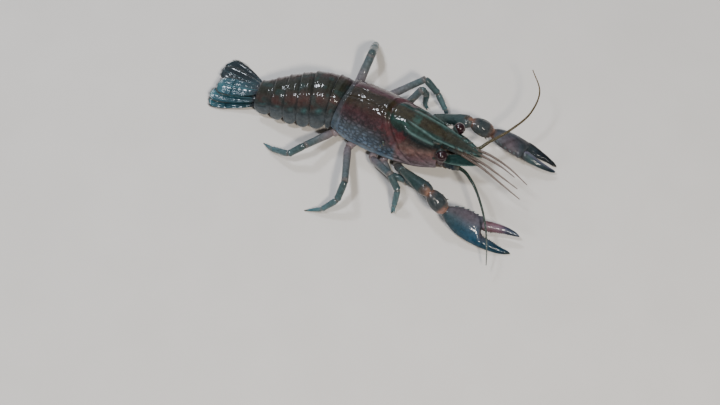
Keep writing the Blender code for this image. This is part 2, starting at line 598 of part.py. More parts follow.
def make_eyes(collection, finishes):
    for side, sign in (("right", -1.0), ("left", 1.0)):
        root, eye = np.array(mirrored(STALK_ROOT, sign)), np.array(mirrored(EYE_CENTRE, sign))
        reach = eye - root
        length = np.linalg.norm(reach)
        stop = 1.0 - (EYE_RADIUS * 0.62 + GAP) / length
        path = root + reach * (stop * np.array([0.0, 0.5, 1.0]))[:, None]
        radii = STALK_RADIUS * np.array([0.9, 1.0, 1.05])
        rings = sweep(path, radii, radii, (0.0, 0.0, 1.0), 10)
        rings[0][:, 0] = root[0]
        loft(f"eyestalk_{side}", rings, collection, finishes["limb"])
        bpy.ops.mesh.primitive_uv_sphere_add(segments=14, ring_count=9, radius=EYE_RADIUS * MM)
        ball = bpy.context.object
        ball.name = f"eye_{side}"
        ball.location = (np.array(eye) - np.array([*BOX_MIDDLE, 0.0])) * MM
        ball.data.materials.append(finishes["eye"])
        ball.data.shade_smooth()
        for owner in list(ball.users_collection):
            owner.objects.unlink(ball)
        collection.objects.link(ball)
        axis = unit(reach)
        flatten_back(ball.data, -axis, 0.62 * EYE_RADIUS * MM)


def flatten_back(mesh, direction, keep):
    """Presses the part of a ball that faces its stalk onto a plane."""
    points = np.empty(len(mesh.vertices) * 3)
    mesh.vertices.foreach_get("co", points)
    points = points.reshape(-1, 3)
    depth = points @ direction
    points -= np.maximum(depth - keep, 0.0)[:, None] * direction
    mesh.vertices.foreach_set("co", points.ravel())
    mesh.update()


def make_feelers(collection, scratch, finishes):
    for side, sign in (("right", -1.0), ("left", 1.0)):
        ends = [mirrored(PEDUNCLE_ROOT, sign), (29.6, sign * 3.2, 7.75), mirrored(PEDUNCLE_END, sign)]
        rings = jointed(ends, (PEDUNCLE_RADIUS, PEDUNCLE_RADIUS, 0.8), 10)
        rings[0][:, 0] = PEDUNCLE_ROOT[0]
        loft(f"antenna_base_{side}", rings, collection, finishes["limb"])

        root, tip = np.array(mirrored(SCALE_ROOT, sign)), np.array(mirrored(SCALE_TIP, sign))
        part = np.array([0.0, 0.15, 0.4, 0.7, 0.88, 1.0])
        half = 0.5 * SCALE_WIDTH * np.array([0.45, 0.8, 1.0, 0.85, 0.5, 0.12])
        inward = np.array([0.0, -sign, 0.0])
        path = root + (tip - root) * part[:, None] + inward * (half - half[-1])[:, None] * 0.5
        thick = np.array([0.4, 0.38, 0.33, 0.3, 0.27, 0.15])
        loft(f"antennal_scale_{side}", sweep(path, half, thick, inward, 8), collection, finishes["limb"])

        line = smooth_path(FLAGELLUM_LEFT if sign > 0 else FLAGELLUM_RIGHT, 25)
        radii = np.interp(np.linspace(0, 1, 25), (0.0, 0.35, 0.7, 1.0), FLAGELLUM_RADIUS)
        near = sweep(line[:12], radii[:12], radii[:12], (0.0, 0.0, 1.0), 6)
        near[0][:, 0] = PEDUNCLE_END[0] + GAP
        loft(f"antenna_near_{side}", near, collection, finishes["feeler"])
        along = unit(line[12] - line[11])
        far_line = np.concatenate([[line[11] + along * GAP], line[12:]])
        far = sweep(far_line, radii[11:], radii[11:], (0.0, 0.0, 1.0), 6)
        loft(f"antenna_far_{side}", far, collection, finishes["feeler"])

        stem = jointed([mirrored(ANTENNULE_ROOT, sign), mirrored(ANTENNULE_PEDUNCLE_END, sign)],
                       (ANTENNULE_RADIUS, ANTENNULE_RADIUS * 0.85), 8)
        stem[0][:, 0] = ANTENNULE_ROOT[0]
        body = loft(f"antennule_{side}", stem, collection, finishes["feeler"])
        lashes = []
        for lash in ANTENNULE_LASHES[side]:
            start = (31.4, sign * (1.25 if abs(lash[0][1]) > 1.5 else 0.75), ANTENNULE_ROOT[2])
            path = smooth_path((start, *lash), 14)
            radii = np.interp(np.linspace(0, 1, 14), (0.0, 0.5, 1.0), ANTENNULE_LASH_RADIUS)
            lashes.append(loft("lash", sweep(path, radii, radii, (0.0, 0.0, 1.0), 6), scratch))
        fuse(body, lashes, scratch)


def make_maxillipeds(collection, finish):
    for side, sign in (("right", -1.0), ("left", 1.0)):
        joints = [mirrored(joint, sign) for joint in MAXILLIPED_JOINTS]
        rings = jointed(joints, MAXILLIPED_RADII, 8)
        rings[0][:, 0] = MAXILLIPED_JOINTS[0][0]
        loft(f"maxilliped_{side}", rings, collection, finish)


def main():
    for old in list(bpy.data.objects):
        bpy.data.objects.remove(old, do_unlink=True)
    crayfish = bpy.data.collections.new("crayfish")
    scratch = bpy.data.collections.new("loose pieces")
    for collection in (crayfish, scratch):
        bpy.context.scene.collection.children.link(collection)
    finishes = {
        "shell": material("olive shell", (0.055, 0.058, 0.040)),
        "tail": material("banded tail shell", (0.060, 0.052, 0.042)),
        "fan": material("teal tail fan", (0.020, 0.085, 0.090)),
        "limb": material("teal limb shell", (0.045, 0.080, 0.078)),
        "hand": material("mauve claw shell", (0.105, 0.110, 0.130)),
        "feeler": material("olive feeler", (0.090, 0.075, 0.045)),
        "under": material("pale underside", (0.260, 0.200, 0.170)),
        "eye": material("dark eye", (0.012, 0.009, 0.012), 0.12),
    }
    make_carapace(crayfish, scratch, finishes["shell"])
    make_underside(crayfish, finishes["under"])
    make_abdomen(crayfish, scratch, finishes["tail"])
    make_tail_fan(crayfish, finishes["fan"])
    make_eyes(crayfish, finishes)
    make_feelers(crayfish, scratch, finishes)
    make_maxillipeds(crayfish, finishes["under"])
    make_legs(crayfish, scratch, finishes["limb"])
    for side, sizes in CHELIPEDS.items():
        make_cheliped(side, sizes, crayfish, scratch, finishes)


main()
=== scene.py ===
"""Looks of a life-size crayfish at rest: a wet shell of many plates, limbs, feelers and a tail fan.

Shapes are worked out in millimetres in the animal's own frame, where x = 0 is the rear edge of the
carapace, +Y is its left side and z = 0 is the floor. Each piece is put in its place in metres.
"""

import logging
import math
from dataclasses import dataclass, field
from enum import Enum

import bpy
import numpy as np
from mathutils import Matrix, Vector


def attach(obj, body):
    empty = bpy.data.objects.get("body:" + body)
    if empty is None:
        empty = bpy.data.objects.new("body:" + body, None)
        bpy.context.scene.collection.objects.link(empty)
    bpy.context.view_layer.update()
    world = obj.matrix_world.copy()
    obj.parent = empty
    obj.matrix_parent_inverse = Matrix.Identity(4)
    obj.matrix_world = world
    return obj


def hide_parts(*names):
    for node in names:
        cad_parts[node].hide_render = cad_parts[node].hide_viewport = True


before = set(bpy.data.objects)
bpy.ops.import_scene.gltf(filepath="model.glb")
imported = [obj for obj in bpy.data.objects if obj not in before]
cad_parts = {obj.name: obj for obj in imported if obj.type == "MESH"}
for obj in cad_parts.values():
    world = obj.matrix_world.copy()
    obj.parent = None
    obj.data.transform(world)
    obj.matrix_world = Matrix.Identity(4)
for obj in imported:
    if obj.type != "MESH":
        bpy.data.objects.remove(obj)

LOG = logging.getLogger("crayfish")
MM = 0.001
BODY = "root"
# Middle of the solids' box in the animal's frame, in millimetres, which is the model's origin
BOX_MIDDLE = np.array([9.48, -0.55, 0.0])
UP = np.array([0.0, 0.0, 1.0])
SIDES = (("right", -1.0), ("left", 1.0))

Stops = tuple[tuple[float, str], ...]
Point = tuple[float, float, float]


class Slot(Enum):
    """The record's material slots."""

    SHELL = "shell"
    TAIL = "tail_shell"
    FAN = "tail_fan"
    LIMB = "limb"
    CLAW = "claw"
    FEELER = "feeler"
    UNDER = "underside"
    EYE = "eye"


def blend(table: object, at: object) -> np.ndarray:
    """Rows of a table at the positions given, on a cubic curve through its rows (Hermite, slopes by gradient).

    Args:
        table: rows whose first column is the position, in rising order.
        at: positions to read, clipped to the table's range.

    Returns:
        One row for each position, without the first column.
    """
    table = np.array(table, float)
    knots, rows = table[:, 0], table[:, 1:]
    slopes = np.gradient(rows, knots, axis=0)
    at = np.clip(np.atleast_1d(np.asarray(at, float)), knots[0], knots[-1])
    i = np.clip(np.searchsorted(knots, at, side="right") - 1, 0, len(knots) - 2)
    width = (knots[i + 1] - knots[i])[:, None]
    t = (at[:, None] - knots[i][:, None]) / width
    return ((2 * t**3 - 3 * t**2 + 1) * rows[i] + (t**3 - 2 * t**2 + t) * width * slopes[i]
            + (3 * t**2 - 2 * t**3) * rows[i + 1] + (t**3 - t**2) * width * slopes[i + 1])


def unit(vectors: object) -> np.ndarray:
    """Each vector divided by its length.

    Args:
        vectors: array whose last axis holds the vectors.

    Returns:
        Array of the same shape.
    """
    vectors = np.asarray(vectors, float)
    return vectors / np.maximum(np.linalg.norm(vectors, axis=-1, keepdims=True), 1e-12)


def smooth_path(points: object, count: int) -> np.ndarray:
    """Evenly spaced points on a smooth curve through the points given.

    Args:
        points: points that the curve goes through.
        count: number of points to return.

    Returns:
        Array of count points.
    """
    points = np.array(points, float)
    lengths = np.concatenate([[0.0], np.cumsum(np.linalg.norm(np.diff(points, axis=0), axis=1))])
    return blend(np.column_stack([lengths, points]), np.linspace(0.0, lengths[-1], count))


def ramp(value: object, low: float, high: float) -> np.ndarray:
    """Rises from 0 at low to 1 at high on the curve 3t^2 - 2t^3.

    Args:
        value: values to read.
        low: value where the rise starts.
        high: value where it ends, which may be below low for a fall.

    Returns:
        Array of shares from 0 to 1.
    """
    t = np.clip((np.asarray(value, float) - low) / (high - low), 0.0, 1.0)
    return t * t * (3.0 - 2.0 * t)


def hill(value: object, width: float) -> np.ndarray:
    """A bell of height 1 at zero: exp(-(value / width)^2).

    Args:
        value: distance from the crest.
        width: distance at which the bell falls to 1/e.

    Returns:
        Array of heights.
    """
    return np.exp(-(np.asarray(value, float) / width) ** 2)


def scatter(cells: np.ndarray, seed: int) -> np.ndarray:
    """A fixed random number from 0 to 1 for each whole-number cell, from its coordinates multiplied and mixed.

    Args:
        cells: whole numbers, three in the last axis.
        seed: picks another set of numbers.

    Returns:
        Array without the last axis.
    """
    cells = cells.astype(np.int64)
    mixed = (cells[..., 0] * 73856093) ^ (cells[..., 1] * 19349663) ^ (cells[..., 2] * 83492791)
    mixed = (mixed ^ (seed * 668265263)) & 0xFFFFFFFF
    mixed = ((mixed ^ (mixed >> 15)) * 739982445) & 0xFFFFFFFF
    mixed = ((mixed ^ (mixed >> 12)) * 695872825) & 0xFFFFFFFF
    return (mixed ^ (mixed >> 15)) / 4294967296.0


def cloud(points: np.ndarray, size: float, seed: int) -> np.ndarray:
    """Soft noise: random values at the corners of a grid of cubes, mixed smoothly between the eight corners.

    Args:
        points: points in millimetres, three in the last axis.
        size: edge of the cubes in millimetres.
        seed: picks another pattern.

    Returns:
        Values from 0 to 1, one a point.
    """
    scaled = points / size
    low = np.floor(scaled)
    share = scaled - low
    share = share * share * (3.0 - 2.0 * share)
    total = np.zeros(points.shape[:-1])
    for corner in range(8):
        step = np.array([corner & 1, (corner >> 1) & 1, corner >> 2])
        weight = np.prod(np.where(step == 1, share, 1.0 - share), axis=-1)
        total += weight * scatter(low + step, seed)
    return total


def pebbles(points: np.ndarray, size: float, seed: int) -> tuple[np.ndarray, np.ndarray]:
    """Close-set grains: each cube of a grid holds one random centre, and a point reads its nearest two.

    Args:
        points: points in millimetres, three in the last axis.
        size: spacing of the grains in millimetres.
        seed: picks another pattern.

    Returns:
        Height of the grain there, 0 in the net between grains to 1 on a crown, and the grain's random number.
    """
    scaled = points / size
    low = np.floor(scaled)
    first = np.full(points.shape[:-1], 9.0)
    second = np.full(points.shape[:-1], 9.0)
    chosen = np.zeros(points.shape[:-1])
    for number in range(27):
        cell = low + np.array([number % 3 - 1, number // 3 % 3 - 1, number // 9 - 1])
        centre = cell + np.stack([scatter(cell, seed + k) for k in range(3)], -1)
        away = np.linalg.norm(centre - scaled, axis=-1)
        nearer = away < first
        second = np.where(nearer, first, np.minimum(second, away))
        chosen = np.where(nearer, scatter(cell, seed + 3), chosen)
        first = np.where(nearer, away, first)
    return ramp(second - first, 0.0, 0.55), chosen


def linear(colour: str) -> np.ndarray:
    """An sRGB hex colour as linear red, green and blue.

    Args:
        colour: text such as #3a4f55.

    Returns:
        Three values from 0 to 1.
    """
    parts = np.array([int(colour[i:i + 2], 16) for i in (1, 3, 5)]) / 255.0
    return np.where(parts <= 0.04045, parts / 12.92, ((parts + 0.055) / 1.055) ** 2.4)


def gradient(stops: Stops, at: np.ndarray) -> np.ndarray:
    """Colour at each value, mixed straight between the stops on its two sides.

    Args:
        stops: pairs of value and hex colour, in rising order.
        at: values to read.

    Returns:
        Array with linear red, green and blue in a new last axis.
    """
    colours = np.array([linear(colour) for _, colour in stops])
    return np.stack([np.interp(at, [place for place, _ in stops], colours[:, k]) for k in range(3)], -1)


def mixed(first: np.ndarray, second: np.ndarray, share: np.ndarray) -> np.ndarray:
    """Two colour arrays mixed by a share from 0, all first, to 1, all second.

    Args:
        first: colours.
        second: colours.
        share: one value a point.

    Returns:
        Array of colours.
    """
    return first + (second - first) * np.asarray(share)[..., None]


@dataclass(frozen=True)
class Patch:
    """A blotch of pigment: an ellipsoid in the animal's frame with a ragged edge."""

    centre: Point
    reach: Point
    colour: str
    strength: float = 0.8

    def laid(self, tint: np.ndarray, points: np.ndarray) -> np.ndarray:
        """Mixes the blotch into colours, by distance over reach with soft noise added.

        Args:
            tint: colours, one a point.
            points: the points in millimetres.

        Returns:
            Array of colours.
        """
        away = np.linalg.norm((points - np.array(self.centre)) / np.array(self.reach), axis=-1)
        away = away + 0.9 * (cloud(points, 0.8, 41) - 0.5) + 0.4 * (cloud(points, 0.3, 45) - 0.5)
        return mixed(tint, linear(self.colour), self.strength * ramp(away, 1.4, 0.2))


def tube(path: object, wide: object, high: object, side: object, sides: int) -> np.ndarray:
    """Elliptical rings along a path: centre + wide cos(a) across + high sin(a) upward, square to the path.

    Args:
        path: centre line.
        wide: half width at each of its points.
        high: half height at each of its points.
        side: rough direction of the width.
        sides: points in a ring.

    Returns:
        Grid of rings by points.
    """
    path = np.array(path, float)
    along = unit(np.gradient(path, axis=0))
    side = np.array(side, float)
    across = unit(side - (along @ side)[:, None] * along)
    upward = np.cross(along, across)
    angles = np.arange(sides) * 2 * math.pi / sides
    wide = np.broadcast_to(np.asarray(wide, float), (len(path),))[:, None, None]
    high = np.broadcast_to(np.asarray(high, float), (len(path),))[:, None, None]
    return (path[:, None, :] + wide * np.cos(angles)[None, :, None] * across[:, None, :]
            + high * np.sin(angles)[None, :, None] * upward[:, None, :])


def volume_sign(grid: np.ndarray) -> float:
    """1 where a grid's rings turn so that its quads face out, or -1: the sign of its summed cone volumes.

    Args:
        grid: rings by points, closed around.

    Returns:
        1.0 or -1.0.
    """
    centred = grid - grid.mean(axis=(0, 1))
    a, b = centred[:-1], np.roll(centred, -1, axis=1)[:-1]
    c = np.roll(centred, -1, axis=1)[1:]
    return 1.0 if np.einsum("ijk,ijk->", a, np.cross(b, c)) >= 0 else -1.0


def outward(grid: np.ndarray) -> np.ndarray:
    """Unit normals of a closed grid: the cross product of its central differences, turned to face out.

    Args:
        grid: rings by points, closed around.

    Returns:
        Array of the grid's shape.
    """
    along = np.gradient(grid, axis=0)
    around = np.roll(grid, -1, axis=1) - np.roll(grid, 1, axis=1)
    return unit(np.cross(around, along)) * volume_sign(grid)


def raised(grid: np.ndarray, height: np.ndarray) -> np.ndarray:
    """Moves each point of a closed grid out along its normal.

    Args:
        grid: rings by points, closed around.
        height: distance in millimetres at each point.

    Returns:
        The moved grid.
    """
    return grid + outward(grid) * np.asarray(height)[..., None]


def thorn(root: object, direction: object, length: float, radius: float, bend: float = 0.15,
          sides: int = 10) -> np.ndarray:
    """A spine: rings along a line that curves up a little, with radius (1 - t)^0.8 and a sunk root.

    Args:
        root: point on the shell.
        direction: way that it points.
        length: length in millimetres.
        radius: radius at the root.
        bend: rise of the tip as a share of the length.
        sides: points in a ring.

    Returns:
        Grid of rings by points.
    """
    t = np.linspace(-0.35, 1.0, 10)
    heading = unit(direction)
    path = np.array(root, float) + heading * (t * length)[:, None]
    path = path + UP * (bend * length * np.clip(t, 0, 1) ** 2)[:, None]
    radii = radius * np.clip(1.0 - np.clip(t, 0, 1), 0.03, 1.0) ** 0.8
    side = UP if abs(heading[2]) < 0.8 else np.array([0.0, 1.0, 0.0])
    return tube(path, radii, radii, side, sides)


def add_node(tree: bpy.types.NodeTree, kind: str, inputs: dict | None = None, **settings: object) -> bpy.types.Node:
    """Adds a shader node, sets its options, and sets or links its inputs.

    Args:
        tree: node tree of the material.
        kind: Blender's name of the node.
        inputs: input name or number to a value, or to a socket that is linked to it.
        settings: options of the node.

    Returns:
        The node.
    """
    made = tree.nodes.new(kind)
    for name, value in settings.items():
        setattr(made, name, value)
    for name, value in (inputs or {}).items():
        if isinstance(value, bpy.types.NodeSocket):
            tree.links.new(value, made.inputs[name])
        else:
            made.inputs[name].default_value = value
    return made


def new_material(name: str) -> tuple[bpy.types.Material, bpy.types.NodeTree, bpy.types.Node]:
    """A node material with only its output and a Principled shader.

    Args:
        name: the material's name.

    Returns:
        The material, its node tree and its shader.
    """
    made = bpy.data.materials.new(name)
    made.use_nodes = True
    return made, made.node_tree, made.node_tree.nodes["Principled BSDF"]


def per_mm(size: float) -> float:
    """Scale of a texture on Object coordinates in metres for a feature of a size in millimetres."""
    return 1.0 / (size * MM)


@dataclass(frozen=True)
class WetShell:
    """Chitin hardened with lime, moulted whole and wet: pigment under a clear uneven film of water.

    The eye sees a dark, mottled body colour with small sharp white glints on every bump and edge.
    """

    name: str
    mottle_mm: float = 1.1
    mottle: float = 0.3
    depth: float = 0.55
    saturation: float = 0.98
    fleck_mm: float = 0.28
    grain_mm: float = 0.2
    grain_height_mm: float = 0.02
    film_mm: float = 0.7
    film_height_mm: float = 0.06
    roughness: float = 0.5
    film_roughness: float = 0.035
    film: float = 0.85

    def dress(self) -> bpy.types.Material:
        """Builds the material: the Tint attribute times two noises, with grain and film bumps.

        Returns:
            The material.
        """
        made, tree, shader = new_material(self.name)
        place = add_node(tree, "ShaderNodeTexCoord").outputs["Object"]
        tint = add_node(tree, "ShaderNodeAttribute", attribute_name="Tint").outputs["Color"]
        blotch = add_node(tree, "ShaderNodeTexNoise", {"Vector": place, "Scale": per_mm(self.mottle_mm),
                                                       "Detail": 4.0, "Roughness": 0.6})
        value = add_node(tree, "ShaderNodeMapRange", {
            "Value": blotch.outputs["Fac"], "From Min": 0.3, "From Max": 0.7,
            "To Min": self.depth * (1.0 - self.mottle), "To Max": self.depth * (1.0 + self.mottle)})
        hue = add_node(tree, "ShaderNodeHueSaturation", {"Color": tint, "Value": value.outputs["Result"],
                                                         "Saturation": self.saturation})
        flecks = add_node(tree, "ShaderNodeTexNoise", {"Vector": place, "Scale": per_mm(self.fleck_mm),
                                                       "Detail": 2.0})
        light = add_node(tree, "ShaderNodeMapRange", {
            "Value": flecks.outputs["Fac"], "From Min": 0.56, "From Max": 0.74, "To Min": 0.0, "To Max": 0.16})
        fleck = add_node(tree, "ShaderNodeMix", {0: light.outputs["Result"], 6: hue.outputs["Color"],
                                                 7: (*linear("#5d6a68"), 1.0)}, data_type="RGBA")
        tree.links.new(fleck.outputs[2], shader.inputs["Base Color"])
        grain = add_node(tree, "ShaderNodeTexNoise", {"Vector": place, "Scale": per_mm(self.grain_mm),
                                                      "Detail": 3.0})
        bump = add_node(tree, "ShaderNodeBump", {"Height": grain.outputs["Fac"], "Strength": 1.0,
                                                 "Distance": self.grain_height_mm * MM})
        tree.links.new(bump.outputs["Normal"], shader.inputs["Normal"])
        wave = add_node(tree, "ShaderNodeTexNoise", {"Vector": place, "Scale": per_mm(self.film_mm),
                                                     "Detail": 1.5, "Roughness": 0.4})
        film = add_node(tree, "ShaderNodeBump", {"Height": wave.outputs["Fac"], "Strength": 1.0,
                                                 "Distance": self.film_height_mm * MM})
        tree.links.new(film.outputs["Normal"], shader.inputs["Coat Normal"])
        shader.inputs["Roughness"].default_value = self.roughness
        shader.inputs["IOR"].default_value = 1.2
        shader.inputs["Coat Weight"].default_value = self.film
        shader.inputs["Coat Roughness"].default_value = self.film_roughness
        shader.inputs["Coat IOR"].default_value = 1.33
        return made


@dataclass(frozen=True)
class Cornea:
    """Compound eye: a smooth clear cornea of tiny facets over black pigment, which reads as a wet black bead."""

    name: str = "faceted clear cornea over dark pigment"
    colour: str = "#120a0d"
    glow: str = "#2c141a"
    facet_mm: float = 0.09

    def dress(self) -> bpy.types.Material:
        """Builds the material: red-black facets, darkest in the middle of each, under a clear coat.

        Returns:
            The material.
        """
        made, tree, shader = new_material(self.name)
        place = add_node(tree, "ShaderNodeTexCoord").outputs["Object"]
        facets = add_node(tree, "ShaderNodeTexVoronoi", {"Vector": place, "Scale": per_mm(self.facet_mm)})
        rim = add_node(tree, "ShaderNodeMapRange", {
            "Value": facets.outputs["Distance"], "From Min": 0.1, "From Max": 0.7, "To Min": 0.1, "To Max": 0.75})
        tone = add_node(tree, "ShaderNodeMix", {0: rim.outputs["Result"], 6: (*linear(self.colour), 1.0),
                                                7: (*linear(self.glow), 1.0)}, data_type="RGBA")
        tree.links.new(tone.outputs[2], shader.inputs["Base Color"])
        bump = add_node(tree, "ShaderNodeBump", {"Height": facets.outputs["Distance"], "Strength": 0.15,
                                                 "Distance": 0.003 * MM}, invert=True)
        tree.links.new(bump.outputs["Normal"], shader.inputs["Normal"])
        shader.inputs["Roughness"].default_value = 0.2
        shader.inputs["IOR"].default_value = 1.2
        shader.inputs["Coat IOR"].default_value = 1.5
        shader.inputs["Coat Weight"].default_value = 1.0
        shader.inputs["Coat Roughness"].default_value = 0.14
        return made


@dataclass(frozen=True)
class Bristle:
    """Setae: hollow chitin hairs, grey-brown and wet, which soften the edges that carry them."""

    name: str
    colour: str = "#3f4443"

    def dress(self) -> bpy.types.Material:
        """Builds the material: one colour that noise along the fringe varies.

        Returns:
            The material.
        """
        made, tree, shader = new_material(self.name)
        place = add_node(tree, "ShaderNodeTexCoord").outputs["Object"]
        noise = add_node(tree, "ShaderNodeTexNoise", {"Vector": place, "Scale": per_mm(0.7)})
        tone = add_node(tree, "ShaderNodeMapRange", {"Value": noise.outputs["Fac"], "To Min": 0.6, "To Max": 1.4})
        hue = add_node(tree, "ShaderNodeHueSaturation", {"Color": (*linear(self.colour), 1.0),
                                                         "Value": tone.outputs["Result"]})
        tree.links.new(hue.outputs["Color"], shader.inputs["Base Color"])
        shader.inputs["Roughness"].default_value = 0.35
        shader.inputs["Coat Weight"].default_value = 0.5
        return made


@dataclass
class Skin:
    """Collects closed grids and puts them into one mesh piece, each with its poles closed."""

    name: str
    points: list[np.ndarray] = field(default_factory=list)
    quads: list[np.ndarray] = field(default_factory=list)
    fans: list[np.ndarray] = field(default_factory=list)
    tints: list[np.ndarray] = field(default_factory=list)
    count: int = 0

    def add(self, grid: np.ndarray, tint: np.ndarray) -> None:
        """Adds rings: quads between them, and a fan of triangles to the middle of each end ring.

        Args:
            grid: rings by points, closed around.
            tint: colours of the same shape, or one colour.
        """
        rings, around = grid.shape[:2]
        tint = np.broadcast_to(tint, grid.shape)
        ends = grid[[0, -1]].mean(axis=1)
        self.points.append(np.concatenate([grid.reshape(-1, 3), ends]))
        self.tints.append(np.concatenate([tint.reshape(-1, 3), tint[[0, -1]].mean(axis=1)]))
        ring, step = np.meshgrid(np.arange(rings - 1), np.arange(around), indexing="ij")
        after = (step + 1) % around
        quads = np.stack([ring * around + step, ring * around + after,
                          (ring + 1) * around + after, (ring + 1) * around + step], -1).reshape(-1, 4)
        steps = np.arange(around)
        nexts = (steps + 1) % around
        last = (rings - 1) * around
        fans = np.concatenate([
            np.stack([np.full(around, rings * around), nexts, steps], -1),
            np.stack([np.full(around, rings * around + 1), last + steps, last + nexts], -1)])
        if volume_sign(grid) < 0:
            quads, fans = quads[:, ::-1], fans[:, ::-1]
        self.quads.append(quads + self.count)
        self.fans.append(fans + self.count)
        self.count += rings * around + 2

    def add_hairs(self, roots: np.ndarray, ways: np.ndarray, lengths: np.ndarray, radius: float,
                  droop: float, tint: np.ndarray) -> None:
        """Adds fine hairs, each three rings of three points and a tip: root + way t + droop t^2 down.

        Args:
            roots: root points.
            ways: unit directions.
            lengths: lengths in millimetres.
            radius: radius at the root in millimetres.
            droop: fall of the tip as a share of the length.
            tint: one colour.
        """
        number = len(roots)
        t = np.array([-0.1, 0.35, 0.7])
        side = unit(np.cross(ways, UP + 1e-3))
        upward = np.cross(side, ways)
        angles = np.arange(3) * 2 * math.pi / 3
        line = roots[:, None, :] + ways[:, None, :] * (t[None, :, None] * lengths[:, None, None])
        line[..., 2] -= droop * lengths[:, None] * np.clip(t, 0, 1) ** 2
        girth = radius * np.array([1.0, 0.8, 0.5])[None, :, None, None]
        spread = (np.cos(angles)[None, None, :, None] * side[:, None, None, :]
                  + np.sin(angles)[None, None, :, None] * upward[:, None, None, :])
        rings = (line[:, :, None, :] + girth * spread).reshape(number, 9, 3)
        tips = roots + ways * lengths[:, None] - UP * (droop * lengths)[:, None]
        block = np.concatenate([rings, tips[:, None, :]], axis=1)
        start = self.count + np.arange(number)[:, None] * 10
        quads = [[r * 3 + k, r * 3 + (k + 1) % 3, r * 3 + 3 + (k + 1) % 3, r * 3 + 3 + k]
                 for r in range(2) for k in range(3)]
        fans = [[6 + k, 6 + (k + 1) % 3, 9] for k in range(3)] + [[0, 2, 1]]
        first = block[0]
        outwards = np.cross(first[1] - first[0], first[4] - first[0]) @ (first[0] - first[:3].mean(axis=0))
        turn = 1 if outwards > 0 else -1
        self.points.append(block.reshape(-1, 3))
        self.tints.append(np.broadcast_to(tint, (number * 10, 3)))
        self.quads.append((start[:, :, None] + np.array(quads)[None]).reshape(-1, 4)[:, ::turn])
        self.fans.append((start[:, :, None] + np.array(fans)[None]).reshape(-1, 3)[:, ::turn])
        self.count += number * 10

    def make(self, finish: bpy.types.Material, replaces: tuple[str, ...] = ()) -> bpy.types.Object:
        """Puts the grids into a mesh with foreach_set and rides the piece on the model's one body.

        Args:
            finish: material.
            replaces: solids that the piece stands for.

        Returns:
            The piece.
        """
        points = (np.concatenate(self.points) - BOX_MIDDLE) * MM
        points[:, 2] = np.maximum(points[:, 2], 0.0)
        quads, fans = np.concatenate(self.quads), np.concatenate(self.fans)
        corners = np.concatenate([quads.ravel(), fans.ravel()]).astype(np.int32)
        starts = np.concatenate([np.arange(len(quads)) * 4, len(quads) * 4 + np.arange(len(fans)) * 3])
        mesh = bpy.data.meshes.new(self.name)
        mesh.vertices.add(len(points))
        mesh.vertices.foreach_set("co", points.astype(np.float32).ravel())
        mesh.loops.add(len(corners))
        mesh.loops.foreach_set("vertex_index", corners)
        mesh.polygons.add(len(starts))
        mesh.polygons.foreach_set("loop_start", starts.astype(np.int32))
        mesh.update(calc_edges=True)
        mesh.validate()
        tints = np.concatenate(self.tints)
        layer = mesh.attributes.new("Tint", "FLOAT_COLOR", "POINT")
        layer.data.foreach_set("color", np.column_stack([tints, np.ones(len(tints))]).astype(np.float32).ravel())
        mesh.shade_smooth()
        mesh.materials.append(finish)
        piece = bpy.data.objects.new(self.name, mesh)
        bpy.context.scene.collection.objects.link(piece)
        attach(piece, BODY)
        if replaces:
            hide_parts(*replaces)
        LOG.info("%s: %d points, %d faces", self.name, len(points), len(starts))
        return piece


@dataclass(frozen=True)
class Finishes:
    """The materials that the pieces share."""

    shell: bpy.types.Material
    tail: bpy.types.Material
    fan: bpy.types.Material
    limb: bpy.types.Material
    claw: bpy.types.Material
    feeler: bpy.types.Material
    under: bpy.types.Material
    eye: bpy.types.Material
    bristle: bpy.types.Material

    @classmethod
    def mixed(cls) -> "Finishes":
        """Dresses every finish once.

        Returns:
            The finishes.
        """
        return cls(
            shell=WetShell("wet pebbled carapace shell", mottle=0.4).dress(),
            tail=WetShell("wet banded tail shell", mottle_mm=0.9, film_mm=1.4, film_height_mm=0.05).dress(),
            fan=WetShell("wet thin tail fan blade", mottle=0.3, film_mm=1.1, film_height_mm=0.055,
                         roughness=0.3, film=1.0, film_roughness=0.05).dress(),
            limb=WetShell("wet leg shell", mottle_mm=0.7).dress(),
            claw=WetShell("wet smooth claw shell", mottle_mm=0.9, film_mm=0.9, film_height_mm=0.08,
                          film=0.4).dress(),
            feeler=WetShell("ringed feeler cuticle", mottle_mm=0.6, film=0.6, film_roughness=0.12).dress(),
            under=WetShell("pale soft underside cuticle", mottle=0.2, film=0.5, film_roughness=0.15).dress(),
            eye=Cornea().dress(),
            bristle=Bristle("wet grey-brown setae").dress())


